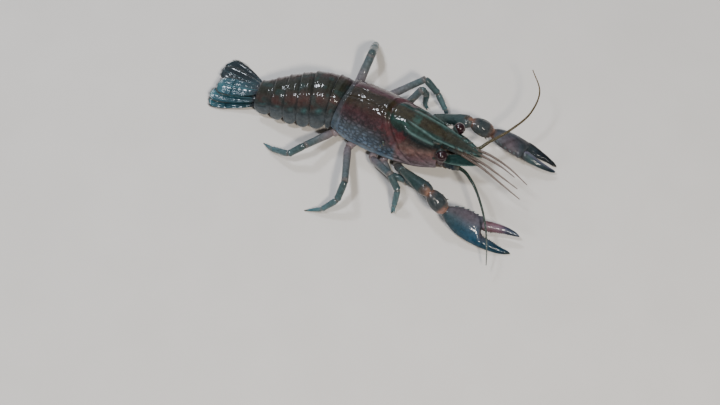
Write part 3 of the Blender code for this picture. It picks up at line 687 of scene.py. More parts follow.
@dataclass(frozen=True)
class Carapace:
    """The head and thorax shield with its cervical groove, keels, rostrum and spines."""

    # x, half width, top, lower edge
    sizes: tuple = (
        (0.0, 6.9, 13.0, 5.4), (3.0, 7.4, 13.9, 4.0), (8.0, 7.6, 14.7, 3.55), (13.0, 7.4, 15.0, 3.55),
        (18.0, 6.8, 14.9, 3.65), (23.0, 5.9, 14.3, 4.4), (27.0, 4.9, 13.6, 5.9))
    length: float = 27.0
    rows: int = 300
    arch: int = 250
    floor_points: int = 14
    widest_at: float = 0.26
    rear_hollow: float = 1.0
    groove_depth: float = 0.5
    groove_width: float = 0.62
    # How far round from the back's midline, and x
    groove_line: tuple = ((0.0, 12.9), (0.25, 13.5), (0.45, 15.0), (0.7, 17.8), (1.0, 22.0))
    # x, half width, top
    rostrum: tuple = ((23.5, 1.5, 14.1), (26.5, 2.0, 13.75), (30.0, 1.65, 13.35), (33.0, 1.15, 13.0),
                      (35.2, 0.45, 12.85), (36.2, 0.12, 12.95))
    rostrum_thick: float = 1.1
    keel_height: float = 0.4
    keel_width: float = 0.33
    # x, distance from the midline
    rostral_keel: tuple = ((17.5, 1.5), (21.0, 1.75), (25.0, 2.0), (27.5, 1.85), (30.0, 1.6), (33.0, 1.1),
                           (35.0, 0.5))
    orbital_keel: tuple = ((17.5, 3.1), (20.0, 3.3), (23.0, 3.2), (25.8, 2.9))
    rostral_spines: tuple = ((30.6, 1.62), (32.4, 1.3), (34.0, 0.85))
    pebble_mm: float = 0.92
    pebble_height: float = 0.11
    back_groove_side: float = 1.35
    lip: float = 0.7

    def shape(self, x: np.ndarray, angle: np.ndarray) -> np.ndarray:
        """The smooth shield: an arch |cos|^0.92 by |sin|^1.06 that tucks in below its widest line.

        Args:
            x: places along the animal, one a row.
            angle: from 0 on the left edge over the back to pi on the right edge.

        Returns:
            Grid of points.
        """
        half, top, low = blend(self.sizes, x).T[:, :, None]
        turn = np.abs(1.0 - 2.0 * angle / math.pi)[None, :]
        widest = low + self.widest_at * (top - low)
        across = (np.sign(np.cos(angle)) * np.abs(np.cos(angle)) ** 0.92)[None, :] * half
        height = low + (top - low) * (np.abs(np.sin(angle)) ** 1.06)[None, :]
        tuck = np.clip((widest - height) / (widest - low), 0.0, 1.0)
        across = across * (1.0 - 0.07 * tuck**2)
        back = self.rear_hollow * (1.0 - turn) * np.clip(1.0 - x[:, None] / 4.0, 0.0, 1.0)
        return np.stack([x[:, None] + back, across, height], -1)

    def relief(self, grid: np.ndarray, turn: np.ndarray) -> tuple[np.ndarray, np.ndarray, np.ndarray]:
        """Heights of groove, keels, rims, muscle marks and pebbles over the smooth shield.

        Args:
            grid: the smooth shield.
            turn: how far round from the midline, one a column.

        Returns:
            Height in millimetres, the pebbles' own height 0 to 1, and the keels' height 0 to 1.
        """
        x, y = grid[..., 0], np.abs(grid[..., 1])
        groove_x = np.interp(turn, *np.array(self.groove_line).T)[None, :]
        ahead = x - groove_x
        low_fade = ramp(turn, 0.97, 0.86)[None, :]
        height = -self.groove_depth * hill(ahead, self.groove_width) * low_fade
        height = height + 0.14 * hill(ahead + 1.1, 0.55) * low_fade
        keels = np.zeros_like(x)
        for line, end in ((self.rostral_keel, 40.0), (self.orbital_keel, 25.9)):
            side = np.interp(x, *np.array(line).T)
            rise = ramp(x, line[0][0] - 0.6, line[0][0] + 1.6) * ramp(x, end, end - 0.8)
            keels = np.maximum(keels, hill(y - side, self.keel_width) * rise)
        height = height + self.keel_height * keels
        # Paired grooves that bound the narrow middle of the back, and the thin groove on the midline
        rear = ramp(x, 0.6, 1.6) * ramp(x, 11.9, 10.6)
        height = height - 0.13 * hill(y - self.back_groove_side - 0.05 * (x - 6.0) ** 2 * 0.12, 0.2) * rear
        # Raised rims along the rear and lower edges, each with a furrow inside it
        edge = ramp(turn, 0.93, 0.965)[None, :]
        height = height + 0.12 * edge - 0.14 * hill(turn - 0.915, 0.016)[None, :] * ramp(x, 26.0, 24.0)
        back_edge = x - self.rear_hollow * (1.0 - turn)[None, :] * np.clip(1.0 - x / 4.0, 0.0, 1.0)
        height = height + 0.1 * ramp(back_edge, 1.2, 0.95) - 0.13 * hill(back_edge - 1.45, 0.2)
        # Low swellings of the head: stomach region and cheeks
        height = height + 0.16 * hill((x - 17.5) / 3.2, 1.0) * hill(turn / 0.3, 1.0)[None, :]
        height = height + 0.2 * hill((x - 19.5) / 2.6, 1.0) * hill((turn - 0.6) / 0.2, 1.0)[None, :]
        height = height - 0.16 * hill(ahead - 4.4 - 3.0 * (turn - 0.6)[None, :], 0.5) * ramp(turn, 0.5, 0.62)
        stones, luck = pebbles(grid * np.array([0.72, 1.0, 1.0]), self.pebble_mm, 7)
        behind = ramp(-ahead, 0.5, 1.6)
        flank = 0.22 + 0.78 * ramp(turn, 0.3, 0.55)[None, :]
        where = flank * behind * ramp(back_edge, 1.6, 2.2) * ramp(turn, 0.91, 0.87)[None, :]
        where = np.maximum(where, 0.3 * ramp(ahead, 0.8, 1.8) * ramp(turn, 0.4, 0.7)[None, :] * ramp(x, 26.0, 24.5))
        height = height + self.pebble_height * where * (stones * (0.55 + 0.6 * luck) - 0.4)
        height = height + 0.05 * (cloud(grid, 2.2, 3) - 0.5)
        return height, 1.0 - where * (1.0 - stones), keels

    def tint(self, grid: np.ndarray, turn: np.ndarray, crown: np.ndarray, keels: np.ndarray) -> np.ndarray:
        """Olive back, maroon shoulder, blue-grey pebbled flank, teal head and its blotches.

        Args:
            grid: the shield's points.
            turn: how far round from the midline, one a column.
            crown: 1 on a pebble's crown to 0 in the net between pebbles, which is painted dark: partly the shell's own
                colour, partly painted shade in the hollows.
            keels: 1 on a keel's crest.

        Returns:
            Array of colours.
        """
        x = grid[..., 0]
        around = np.broadcast_to(turn[None, :], x.shape) + 0.1 * (cloud(grid, 2.4, 11) - 0.5)
        thorax = gradient(((0.0, "#31291c"), (0.12, "#392f20"), (0.24, "#3e3128"), (0.36, "#50353a"),
                           (0.5, "#54444a"), (0.62, "#5d6a78"), (0.85, "#66809a"), (1.0, "#748696")), around)
        head = gradient(((0.0, "#3d3828"), (0.1, "#39352a"), (0.17, "#27413c"), (0.27, "#23362f"),
                         (0.34, "#1b2a2b"), (0.44, "#1b2527"), (0.52, "#453632"), (0.62, "#80605a"),
                         (0.78, "#7c626a"), (0.9, "#80727a"), (1.0, "#847a80")), around)
        groove_x = np.interp(turn, *np.array(self.groove_line).T)[None, :]
        tint = mixed(thorax, head, ramp(x - np.minimum(groove_x, 16.9), -0.5, 0.6))
        for patch in self.patches():
            tint = patch.laid(tint, grid)
        # The left shoulder is washed with mauve, from the back's groove to the eye
        inner = np.interp(x, (0.0, 12.0, 15.0, 21.0, 25.0), (1.4, 1.6, 2.4, 2.9, 3.4))
        wash = ramp(grid[..., 1] - inner + 0.8 * (cloud(grid, 1.4, 17) - 0.5), -0.3, 0.8) * ramp(x, 25.0, 22.0)
        tint = mixed(tint, linear("#64424b"), 0.8 * wash * ramp(turn, 0.66, 0.52)[None, :])
        # The net between pebbles is painted dark: partly the shell's own colour, partly painted shade in the hollows
        # between them
        tint = mixed(tint, linear("#1a1e22"), 0.7 * (1.0 - crown))
        # Pale teal along each keel's crest: partly the keel's own colour, partly a painted highlight for the glint line
        # along it
        tint = mixed(tint, linear("#6c8f8b"), 0.6 * keels**2)
        # Darker maroon along the cervical groove: maroon pigment with painted shade in the crease
        groove = hill(x - groove_x, 0.35) * ramp(turn, 0.97, 0.86)[None, :]
        tint = mixed(tint, linear("#4a2c2e"), 0.4 * groove)
        back_edge = x - self.rear_hollow * (1.0 - turn)[None, :] * np.clip(1.0 - x / 4.0, 0.0, 1.0)
        return mixed(tint, linear("#3f4b50"), 0.6 * ramp(back_edge, 1.5, 1.15))

    def patches(self) -> list[Patch]:
        """The named blotches of the shield, on both flanks.

        Returns:
            List of patches.
        """
        made = []
        for sign in (-1.0, 1.0):
            made += [
                Patch((13.4, sign * 5.2, 12.5), (2.2, 1.8, 2.2), "#6a3236", 0.7),
                Patch((15.2, sign * 6.2, 10.2), (2.0, 1.6, 1.8), "#6a3436", 0.7),
                Patch((9.5, sign * 3.6, 14.0), (2.6, 1.5, 1.5), "#452c29", 0.5),
                Patch((4.2, sign * 4.3, 12.6), (2.4, 1.6, 1.7), "#4a2f31", 0.55),
                Patch((17.2, sign * 5.0, 11.8), (2.0, 1.5, 1.9), "#70343a", 0.7),
                Patch((19.4, sign * 0.5, 14.9), (1.3, 0.7, 0.6), "#3a6560", 0.5),
                Patch((20.8, sign * 6.3, 9.2), (2.6, 1.6, 1.3), "#7d5a50", 0.6),
                Patch((22.6, sign * 5.0, 11.2), (2.4, 1.0, 1.0), "#10191a", 0.8),
                Patch((13.6, sign * 2.4, 14.6), (1.1, 1.0, 1.0), "#1d4a45", 0.7),
                Patch((16.8, sign * 2.6, 14.8), (1.8, 0.8, 1.0), "#1f4640", 0.7)]
        return made

    def shield(self) -> tuple[np.ndarray, np.ndarray]:
        """The shield's closed rings: arch, flat floor, and a lip turned in at the front and the rear.

        Returns:
            Grid of points and its colours.
        """
        x = np.linspace(0.0, self.length, self.rows)
        angle = np.linspace(0.0, math.pi, self.arch)
        turn = np.abs(1.0 - 2.0 * angle / math.pi)
        arch = self.shape(x, angle)
        height, crown, keels = self.relief(arch, turn)
        tint = self.tint(arch, turn, crown, keels)
        share = np.linspace(0.0, 1.0, self.floor_points + 2)[1:-1][None, :, None]
        bottom = arch[:, -1:, :] * (1.0 - share) + arch[:, :1, :] * share
        grid = np.concatenate([arch, bottom], axis=1)
        height = np.concatenate([height, np.zeros(bottom.shape[:2])], axis=1)
        grid = raised(grid, height)
        pale = np.broadcast_to(linear("#7d6a62"), bottom.shape)
        tint = np.concatenate([tint, pale], axis=1)
        # Painted shade: the inner rings of the lip that turns in at each end are dark
        lip_shade = np.broadcast_to(linear("#2a2322"), (1, *grid.shape[1:]))
        rows, colours = [], []
        for end, way in ((0, 1.0), (-1, -1.0)):
            middle = grid[end].mean(axis=0)
            lips = [middle + (grid[end] - middle) * size + np.array([way * deep, 0.0, 0.0])
                    for size, deep in ((0.985, -0.06), (0.95, 0.02), (0.93, self.lip), (0.6, self.lip + 0.3))]
            rows.append(np.stack(lips if end else lips[::-1]))
            edge = tint[end][None]
            # The edge ring keeps its colour, the next is painted a fifth darker, the inner rings dark: painted shade
            inner = [edge, edge * 0.8, lip_shade, lip_shade]
            colours.append(np.concatenate(inner if end else inner[::-1]))
        return (np.concatenate([rows[0], grid, rows[1]]), np.concatenate([colours[0], tint, colours[1]]))

    def beak(self) -> tuple[np.ndarray, np.ndarray]:
        """The rostrum: a flat blade, hollowed between raised rims that follow the rostral keels.

        Returns:
            Grid of points and its colours.
        """
        x = np.linspace(self.rostrum[0][0], self.rostrum[-1][0], 150)
        half, top = blend(self.rostrum, x).T
        half = half * (1.0 + 0.06 * np.sin((x - 29.0) * 3.4) * ramp(x, 29.0, 30.0) * ramp(x, 36.0, 34.5))
        thick = 0.5 * self.rostrum_thick * np.clip(half, 0.22, 1.0)
        path = np.column_stack([x, 0 * x, top - 0.5 * self.rostrum_thick])
        grid = tube(path, half, thick, (0.0, 1.0, 0.0), 96)
        side = np.abs(grid[..., 1])
        above = ramp(grid[..., 2] - path[:, 2][:, None], -0.05, 0.1)
        crest = np.interp(x, *np.array(self.rostral_keel).T)[:, None]
        rim = hill(side - crest, 0.2) * above
        dish = ramp(crest - side, 0.1, 0.8) * above
        fade = ramp(x, 36.0, 34.0)[:, None]
        grid = raised(grid, (0.3 * rim - 0.18 * dish) * fade)
        tint = gradient(((23.0, "#37342a"), (29.0, "#343429"), (34.0, "#3c423c"), (36.2, "#6f6154")), x)
        tint = np.broadcast_to(tint[:, None, :], grid.shape)
        tint = mixed(tint, linear("#27413c"), 0.85 * ramp(side - crest, -0.7, -0.2))
        # Pale teal along the rims over the rostral keels: partly their own colour, partly a painted highlight for the
        # glint line
        return grid, mixed(tint, linear("#6c8f8b"), 0.55 * rim**2)

    def spines(self) -> list[np.ndarray]:
        """Spines of the rostrum, behind the eyes, behind the groove and on the cheeks.

        Returns:
            List of grids.
        """
        made = []
        for sign in (-1.0, 1.0):
            for x, side in self.rostral_spines:
                top = blend(self.rostrum, x)[0][1]
                made.append(thorn((x, sign * side, top - 0.2), (1.0, sign * 0.5, 0.25), 1.05, 0.28))
            made.append(thorn((25.6, sign * 2.92, 13.4), (1.0, 0.0, 0.15), 1.3, 0.34))
            made.append(thorn((14.2, sign * 6.75, 9.6), (0.6, sign * 0.8, 0.1), 1.1, 0.34))
            made.append(thorn((13.6, sign * 7.1, 8.4), (0.6, sign * 0.8, 0.0), 0.7, 0.24))
            made.append(thorn((26.4, sign * 4.5, 9.4), (1.0, sign * 0.3, 0.0), 0.8, 0.28))
        return made

    def build(self, finishes: Finishes) -> None:
        """Makes the shield, rostrum and spines as one piece.

        Args:
            finishes: the materials.
        """
        skin = Skin("carapace_shield")
        skin.add(*self.shield())
        skin.add(*self.beak())
        for spine in self.spines():
            reach = np.linspace(0.0, 1.0, len(spine))
            colours = gradient(((0.0, "#37443f"), (0.6, "#4c524b"), (1.0, "#84705f")), reach)
            skin.add(spine, np.broadcast_to(colours[:, None, :], spine.shape))
        skin.make(finishes.shell, ("carapace",))


@dataclass(frozen=True)
class Abdomen:
    """Six overlapping rings with side plates, a ribbed belly and the paddles under it."""

    # Middle line seen from above
    line: tuple = ((1.5, 0.0), (-2.0, -0.15), (-6.0, -1.1), (-10.0, -2.6), (-14.0, -4.1), (-18.0, -5.4),
                   (-22.0, -6.3), (-26.0, -6.9), (-32.0, -7.6))
    # Distance back, half width, top, lower edge
    sizes: tuple = (
        (0.0, 6.4, 12.5, 3.9), (2.6, 6.7, 12.4, 3.4), (7.7, 6.8, 11.6, 2.4), (11.0, 6.4, 10.5, 2.0),
        (14.2, 5.8, 9.2, 1.8), (17.4, 5.0, 7.6, 1.6), (21.3, 3.9, 5.6, 1.5))
    ends: tuple = ((0.4, 2.65), (2.95, 7.75), (8.05, 11.0), (11.3, 14.2), (14.5, 17.4), (17.7, 21.3))
    # Along a ring: size, and how far its side plate's edge lifts
    stations: tuple = ((-0.35, 0.915, 2.2), (0.0, 0.945, 1.6), (0.12, 0.965, 0.95), (0.35, 0.995, 0.25),
                       (0.6, 1.0, 0.0), (0.85, 1.003, 0.45), (0.97, 1.003, 1.1), (1.0, 0.995, 1.35))
    plate_thick: float = 0.8
    belly: float = 1.9
    rows: int = 130
    arch: int = 190
    paddle: float = 3.0

    def at(self, back: float) -> tuple[np.ndarray, np.ndarray, np.ndarray]:
        """Place on the middle line and the directions back and to the left there.

        Args:
            back: distance back along the abdomen.

        Returns:
            Point, backward direction and left-hand direction.
        """
        line = np.array(self.line, float)
        lengths = np.concatenate([[0.0], np.cumsum(np.linalg.norm(np.diff(line, axis=0), axis=1))]) - 1.5
        table = np.column_stack([lengths, line])
        here, ahead, behind = blend(table, [back, back + 0.1, back - 0.1])
        along = unit(np.append(ahead - behind, 0.0))
        return np.append(here, 0.0), along, np.cross(along, UP)

    def ring(self, front: float, rear: float, part: np.ndarray) -> tuple[np.ndarray, np.ndarray]:
        """Closed rows of one abdominal ring: an arch |cos|^0.8 by |sin|^0.9 and the belly between its plates.

        Args:
            front: where it starts, distance back.
            rear: where it ends.
            part: rows as shares of its length.

        Returns:
            Grid of points, and for each column how far round it is from the midline, 2 on the belly.
        """
        back = front + (rear - front) * part
        half, top, low = blend(self.sizes, back).T
        size, lift = blend(self.stations, part).T
        half, top, low = half * size, low + (top - low) * size, low + lift
        angle = np.linspace(0.0, math.pi, self.arch)
        across = (np.sign(np.cos(angle)) * np.abs(np.cos(angle)) ** 0.8)[None, :] * half[:, None]
        height = low[:, None] + (top - low)[:, None] * (np.abs(np.sin(angle)) ** 0.9)[None, :]
        inner = (half - self.plate_thick)[:, None]
        floor = (low + self.belly - 0.5 * lift)[:, None]
        sag = np.linspace(-1.0, 1.0, 24)[None, :]
        wall = np.linspace(0.0, 1.0, 6)[None, :]
        across = np.concatenate([across, -inner + 0.7 * wall, (inner - 0.7) * sag[:, 1:-1], inner - 0.7 * wall[:, ::-1]], 1)
        height = np.concatenate([
            height, low[:, None] + (floor - low[:, None]) * wall,
            floor + 0.5 * (1.0 - sag[:, 1:-1] ** 2) - 1.0 * (1.0 - sag[:, 1:-1] ** 2),
            low[:, None] + (floor - low[:, None]) * wall[:, ::-1]], 1)
        places = [self.at(distance) for distance in back]
        centre, _, left = (np.array(column) for column in zip(*places))
        grid = centre[:, None, :] + across[..., None] * left[:, None, :] + height[..., None] * UP
        turn = np.concatenate([np.abs(1.0 - 2.0 * angle / math.pi), np.full(34, 2.0)])
        return grid, turn

    def relief(self, grid: np.ndarray, part: np.ndarray, turn: np.ndarray) -> np.ndarray:
        """Cross groove, rear rim, fold above the side plate, plate swelling and pits.

        Args:
            grid: the ring's points.
            part: rows as shares of its length.
            turn: columns, how far round from the midline.

        Returns:
            Height in millimetres at each point.
        """
        along, around = part[:, None], turn[None, :]
        arch = around < 1.5
        over = ramp(around, 0.8, 0.6)
        height = -0.03 * hill(along - 0.2 - 0.05 * around, 0.06) * over
        height = height + 0.02 * hill(along - 0.93, 0.08) * over
        height = height - 0.09 * hill(around - 0.66 - 0.05 * (along - 0.5), 0.03) * ramp(along, 0.1, 0.3)
        height = height + 0.13 * hill((around - 0.82) / 0.14, 1.0) * hill((along - 0.58) / 0.3, 1.0)
        height = height + 0.1 * hill(around - 0.97, 0.02)
        grains, luck = pebbles(grid, 0.55, 19)
        pits = ramp(1.0 - grains, 0.6, 1.0)
        height = height - 0.012 * pits + 0.02 * luck * ramp(around, 0.6, 0.8)
        height = height + 0.06 * (cloud(grid, 2.0, 23) - 0.5)
        return np.where(arch, height, 0.0)

    def tint(self, grid: np.ndarray, part: np.ndarray, turn: np.ndarray, number: int) -> np.ndarray:
        """Olive midline, maroon sides with teal spots, blue-grey side plates with a pale rim, and painted shade at each
        ring's front.

        Args:
            grid: the ring's points.
            part: rows as shares of its length.
            turn: columns, how far round from the midline.
            number: 1 for the first ring to 6.

        Returns:
            Array of colours.
        """
        along = np.broadcast_to(part[:, None], grid.shape[:2]) + 0.12 * (cloud(grid, 1.4, 31) - 0.5)
        around = np.broadcast_to(turn[None, :], grid.shape[:2]) + 0.12 * (cloud(grid, 1.8, 37) - 0.5)
        tint = gradient(((0.0, "#2b2e23"), (0.2, "#2c332c"), (0.34, "#2f3632"), (0.55, "#30393a"),
                         (0.66, "#333d40"), (0.74, "#4c565c"), (0.95, "#58636a"), (1.0, "#7a8083"),
                         (1.3, "#8a7468"), (2.0, "#a58a78")), around)
        red = hill((around - 0.34) / 0.18, 1.0) * (0.75 + 0.25 * hill((along - 0.6) / 0.4, 1.0))
        red = red * (0.55 + 0.8 * cloud(grid, 1.3, 43))
        tint = mixed(tint, linear("#523835"), np.clip((0.85 if number < 6 else 0.5) * red, 0.0, 1.0))
        # The mauve wash of the shield's left shoulder runs on along the rings
        leftward = np.concatenate([np.cos(np.linspace(0.0, math.pi, self.arch)), np.zeros(34)])[None, :]
        tint = mixed(tint, linear("#5a464e"), 0.8 * ramp(leftward, 0.4, 0.55) * ramp(around, 0.66, 0.54))
        teal = hill((around - 0.57) / 0.06, 1.0) * hill((along - 0.45) / 0.22, 1.0)
        tint = mixed(tint, linear("#34686a"), (0.7 if number in (2, 3) else 0.45) * teal)
        blue = ramp(cloud(grid, 1.5, 47), 0.55, 0.75) * ramp(around, 0.55, 0.4)
        tint = mixed(tint, linear("#2a4644"), 0.5 * blue)
        # Painted shade at the front of each ring, where it runs under the ring before
        tint = mixed(tint, linear("#1a1d1c"), 0.4 * ramp(along, 0.16, 0.02) * (around < 1.1))
        return mixed(tint, linear("#43494a"), 0.3 * hill(along - 1.0, 0.03) * (around < 1.1))

    def build(self, finishes: Finishes) -> None:
        """Makes the six rings and their paddles.

        Args:
            finishes: the materials.
        """
        for number, (front, rear) in enumerate(self.ends, 1):
            part = np.concatenate([np.linspace(-0.35 if number > 1 else -0.9, 0.0, 12)[:-1],
                                   np.linspace(0.0, 1.0, self.rows)])
            grid, turn = self.ring(front, rear, part)
            tint = self.tint(grid, part, turn, number)
            grid = raised(grid, self.relief(grid, part, turn))
            lips, colours = [], []
            middle = grid[-1].mean(axis=0)
            _, along, _ = self.at(rear)
            # The rear lip is painted darker than the ring, nine tenths at its edge and four tenths where it turns in:
            # painted shade
            for size, deep in ((0.99, 0.05), (0.965, 0.0), (0.95, -0.5), (0.7, -0.7)):
                lips.append(middle + (grid[-1] - middle) * size + along * deep)
                colours.append(tint[-1] * (0.9 if deep > -0.2 else 0.4))
            skin = Skin(f"tail_ring_{number}")
            skin.add(np.concatenate([grid, np.stack(lips)]), np.concatenate([tint, np.stack(colours)]))
            if number in (2, 3, 4, 5):
                self.add_paddles(skin, 0.5 * (front + rear))
            skin.make(finishes.tail, (f"abdomen_{number}",))

    def add_paddles(self, skin: Skin, middle: float) -> None:
        """Adds a pair of swimmerets: a stalk and two leaf-shaped lobes on each side.

        Args:
            skin: the ring's skin.
            middle: their distance back.
        """
        half, _, low = blend(self.sizes, middle)[0]
        centre, along, left = self.at(middle)
        for sign in (-1.0, 1.0):
            root = centre + sign * (half - 2.6) * left + UP * (low + self.belly + 0.2)
            for spread, reach in ((-0.16, 1.0), (0.2, 0.86)):
                lean = 0.55 * along + spread * sign * left - 0.55 * UP
                t = np.linspace(-0.1, 1.0, 30)
                path = root + lean * (t * self.paddle * 0.62 * reach)[:, None]
                path[:, 2] = np.maximum(path[:, 2], 0.35)
                wide = 0.42 * np.interp(t, (-0.1, 0.2, 0.35, 0.7, 0.95, 1.0), (0.7, 0.7, 1.2, 1.5, 0.7, 0.2))
                high = 0.42 * np.interp(t, (-0.1, 0.3, 1.0), (0.8, 0.5, 0.2))
                skin.add(tube(path, wide, high, left, 20), linear("#8c7a70"))


@dataclass(frozen=True)
class Blade:
    """Sizes of one blade of the tail fan: place and shape in millimetres, turn and tilt in degrees."""

    node: str
    side: float
    root_z: float
    tip_z: float
    length: float
    width: float
    turn: float = 0.0
    tilt: float = 0.0


@dataclass(frozen=True)
class TailFan:
    """Telson and two pairs of uropods, ribbed, glossy and fringed with setae."""

    root: float = 21.6
    thick: float = 0.5
    blades: tuple = (
        (0.0, Blade("telson", 0.0, 4.2, 2.4, 10.4, 4.7)),
        (-1.0, Blade("uropod_inner_right", 1.6, 3.0, 1.35, 11.6, 3.5, 4.0, 5.0)),
        (-1.0, Blade("uropod_outer_right", 1.9, 1.75, 0.3, 11.6, 4.0, 8.0, 5.0)),
        (1.0, Blade("uropod_inner_left", 2.0, 3.0, 1.35, 11.3, 4.2, 15.0, 5.0)),
        (1.0, Blade("uropod_outer_left", 2.5, 1.75, 0.3, 11.9, 5.5, 25.0, 5.0)))
    fringe_length: float = 0.6

    def frame(self, sign: float, blade: Blade) -> tuple[np.ndarray, np.ndarray, np.ndarray]:
        """Root point, forward direction along the blade, and its outward direction.

        Args:
            sign: -1 right, 1 left, 0 in the middle.
            blade: its sizes.

        Returns:
            Root, direction to the tip, direction of its width.
        """
        centre, along, left = Abdomen().at(self.root)
        turn, tilt = math.radians(blade.turn) * sign, math.radians(blade.tilt)
        forward = unit(along * math.cos(turn) + left * math.sin(turn))
        outer = np.cross(UP, forward)
        outer = outer if outer @ left * (sign or 1.0) > 0 else -outer
        outer = unit(outer * math.cos(tilt) - UP * math.sin(tilt))
        return centre + sign * blade.side * left, forward, outer

    def outline(self, part: np.ndarray) -> np.ndarray:
        """Half width of a blade as a share of its greatest: narrow root, broad middle, round end."""
        return blend(((0.0, 0.42), (0.08, 0.55), (0.25, 0.78), (0.5, 0.97), (0.72, 1.0), (0.87, 0.93),
                      (0.95, 0.74), (0.985, 0.47), (1.0, 0.2)), part)[:, 0]

    def plate(self, sign: float, blade: Blade) -> tuple[np.ndarray, np.ndarray, np.ndarray]:
        """A blade's grid: lens-shaped rings with a midrib, side ribs, end rays and a hinge line.

        Args:
            sign: -1 right, 1 left, 0 in the middle.
            blade: its sizes.

        Returns:
            Grid of points, share along, and share across from -1 to 1.
        """
        root, forward, outer = self.frame(sign, blade)
        part = np.sin(np.linspace(-0.06, 1.0, 170) * math.pi / 2)
        half = 0.5 * blade.width * self.outline(np.clip(part, 0.0, 1.0))
        drop = blade.root_z + (blade.tip_z - blade.root_z) * np.clip(part, 0.0, 1.0) ** 0.8
        path = root + forward * (part * blade.length)[:, None] + UP * drop[:, None]
        thick = 0.5 * self.thick * np.interp(part, (0.0, 0.25, 0.85, 1.0), (1.3, 1.1, 0.8, 0.45))
        grid = tube(path, half, thick, outer, 120)
        angles = np.arange(120) * 2 * math.pi / 120
        across = np.broadcast_to(np.cos(angles)[None, :], grid.shape[:2])
        top = (np.sin(angles) > 0)[None, :] if (np.cross(forward, outer) @ UP) > 0 else (np.sin(angles) < 0)[None, :]
        along = np.broadcast_to(part[:, None], grid.shape[:2])
        edge = ramp(1.0 - np.abs(across), 0.02, 0.15)
        ribs = (0.11 * hill(across, 0.08) + (0.0 if sign else 0.06) * hill(np.abs(across) - 0.42, 0.06)
                + (0.06 if sign else 0.0) * hill(across - 0.78, 0.07)) * ramp(along, 0.97, 0.8)
        hinge = -0.09 * hill(along - 0.62 - 0.03 * np.cos(across * 2.0), 0.012) * ("inner" not in blade.node)
        rays = (0.012 * np.cos(across * 31.0 + 0.7) + 0.016 * np.cos(across * 62.0)) * ramp(along, 0.15, 0.5)
        dents = 0.07 * (cloud(grid, 1.1, 53) - 0.5)
        height = np.where(top, (ribs + hinge + rays) * edge + dents, 0.4 * dents)
        grid = raised(grid, height)
        grid[..., 2] = np.maximum(grid[..., 2], 0.0)
        return grid, along, across

    def fringe(self, sign: float, blade: Blade) -> tuple[np.ndarray, np.ndarray, np.ndarray]:
        """Hairs around the outer two thirds of the blade's edge, fanned out from its middle.

        Args:
            sign: -1 right, 1 left, 0 in the middle.
            blade: its sizes.

        Returns:
            Root points, directions and lengths.
        """
        root, forward, outer = self.frame(sign, blade)
        swing = np.linspace(-1.9, 1.9, 190)
        part = 0.52 + 0.475 * np.cos(swing * 0.82)
        part = np.clip(part, 0.0, 0.998)
        half = 0.5 * blade.width * self.outline(part)
        drop = blade.root_z + (blade.tip_z - blade.root_z) * part**0.8
        side = np.sign(swing) * half * np.clip(np.abs(np.sin(swing)) * 3.0, 0.0, 1.0)
        roots = root + forward * (part * blade.length - 0.05)[:, None] + outer * side[:, None] + UP * drop[:, None]
        ways = unit(forward * (0.55 + np.cos(swing))[:, None] + outer * (0.8 * np.sin(swing))[:, None])
        jitter = scatter(np.stack([np.arange(190)] * 3, -1), int(50 + blade.width * 10 + sign))
        lengths = self.fringe_length * (0.7 + 0.45 * jitter) * ramp(np.abs(swing), 1.95, 1.5)
        return roots, ways, lengths + 0.1

    def build(self, finishes: Finishes) -> None:
        """Makes the five blades, each with its fringe as a piece of its own.

        Args:
            finishes: the materials.
        """
        for sign, blade in self.blades:
            grid, along, across = self.plate(sign, blade)
            tint = gradient(((0.0, "#3a3a40"), (0.15, "#29454c"), (0.45, "#27505c"), (0.8, "#265a68"),
                             (0.95, "#347280"), (1.0, "#467e84")), along + 0.1 * (cloud(grid, 1.3, 61) - 0.5))
            # Painted shade: the left blades are darkened almost to black beyond their root, the others a little
            tint = mixed(tint, linear("#10191d"), (0.92 if sign > 0 else 0.1) * ramp(along, 0.05, 0.4))
            tint = mixed(tint, linear("#10262b"), 0.5 * hill(along - 0.63, 0.02) * ("inner" not in blade.node))
            # A pale cyan streak along each midrib, strongest on the telson and right blades: a painted highlight
            tint = mixed(tint, linear("#5a97a2"), (0.15 if sign > 0 else 0.55) * hill(across, 0.07))
            skin = Skin(f"fan_{blade.node}")
            skin.add(grid, tint)
            if sign:
                self.add_knuckle(skin, sign, blade)
            skin.make(finishes.fan, (blade.node,))
            hairs = Skin(f"fan_fringe_{blade.node}")
            hairs.add_hairs(*self.fringe(sign, blade), 0.026, 0.02, linear("#3c4a4c"))
            hairs.make(finishes.bristle)

    def add_knuckle(self, skin: Skin, sign: float, blade: Blade) -> None:
        """Adds the short stalk that carries the blade, from under the last ring.

        Args:
            skin: the blade's skin.
            sign: -1 right, 1 left.
            blade: its sizes.
        """
        root, forward, outer = self.frame(sign, blade)
        start = root + UP * (blade.root_z + 0.1) - forward * 1.3 - outer * 0.3
        t = np.linspace(0.0, 1.0, 24)
        path = start + forward * (t * 2.2)[:, None]
        size = np.interp(t, (0.0, 0.2, 0.75, 0.93, 1.0), (0.5, 0.8, 0.95, 0.9, 0.5))
        skin.add(tube(path, size, size * 0.5, outer, 24), linear("#3c4448"))


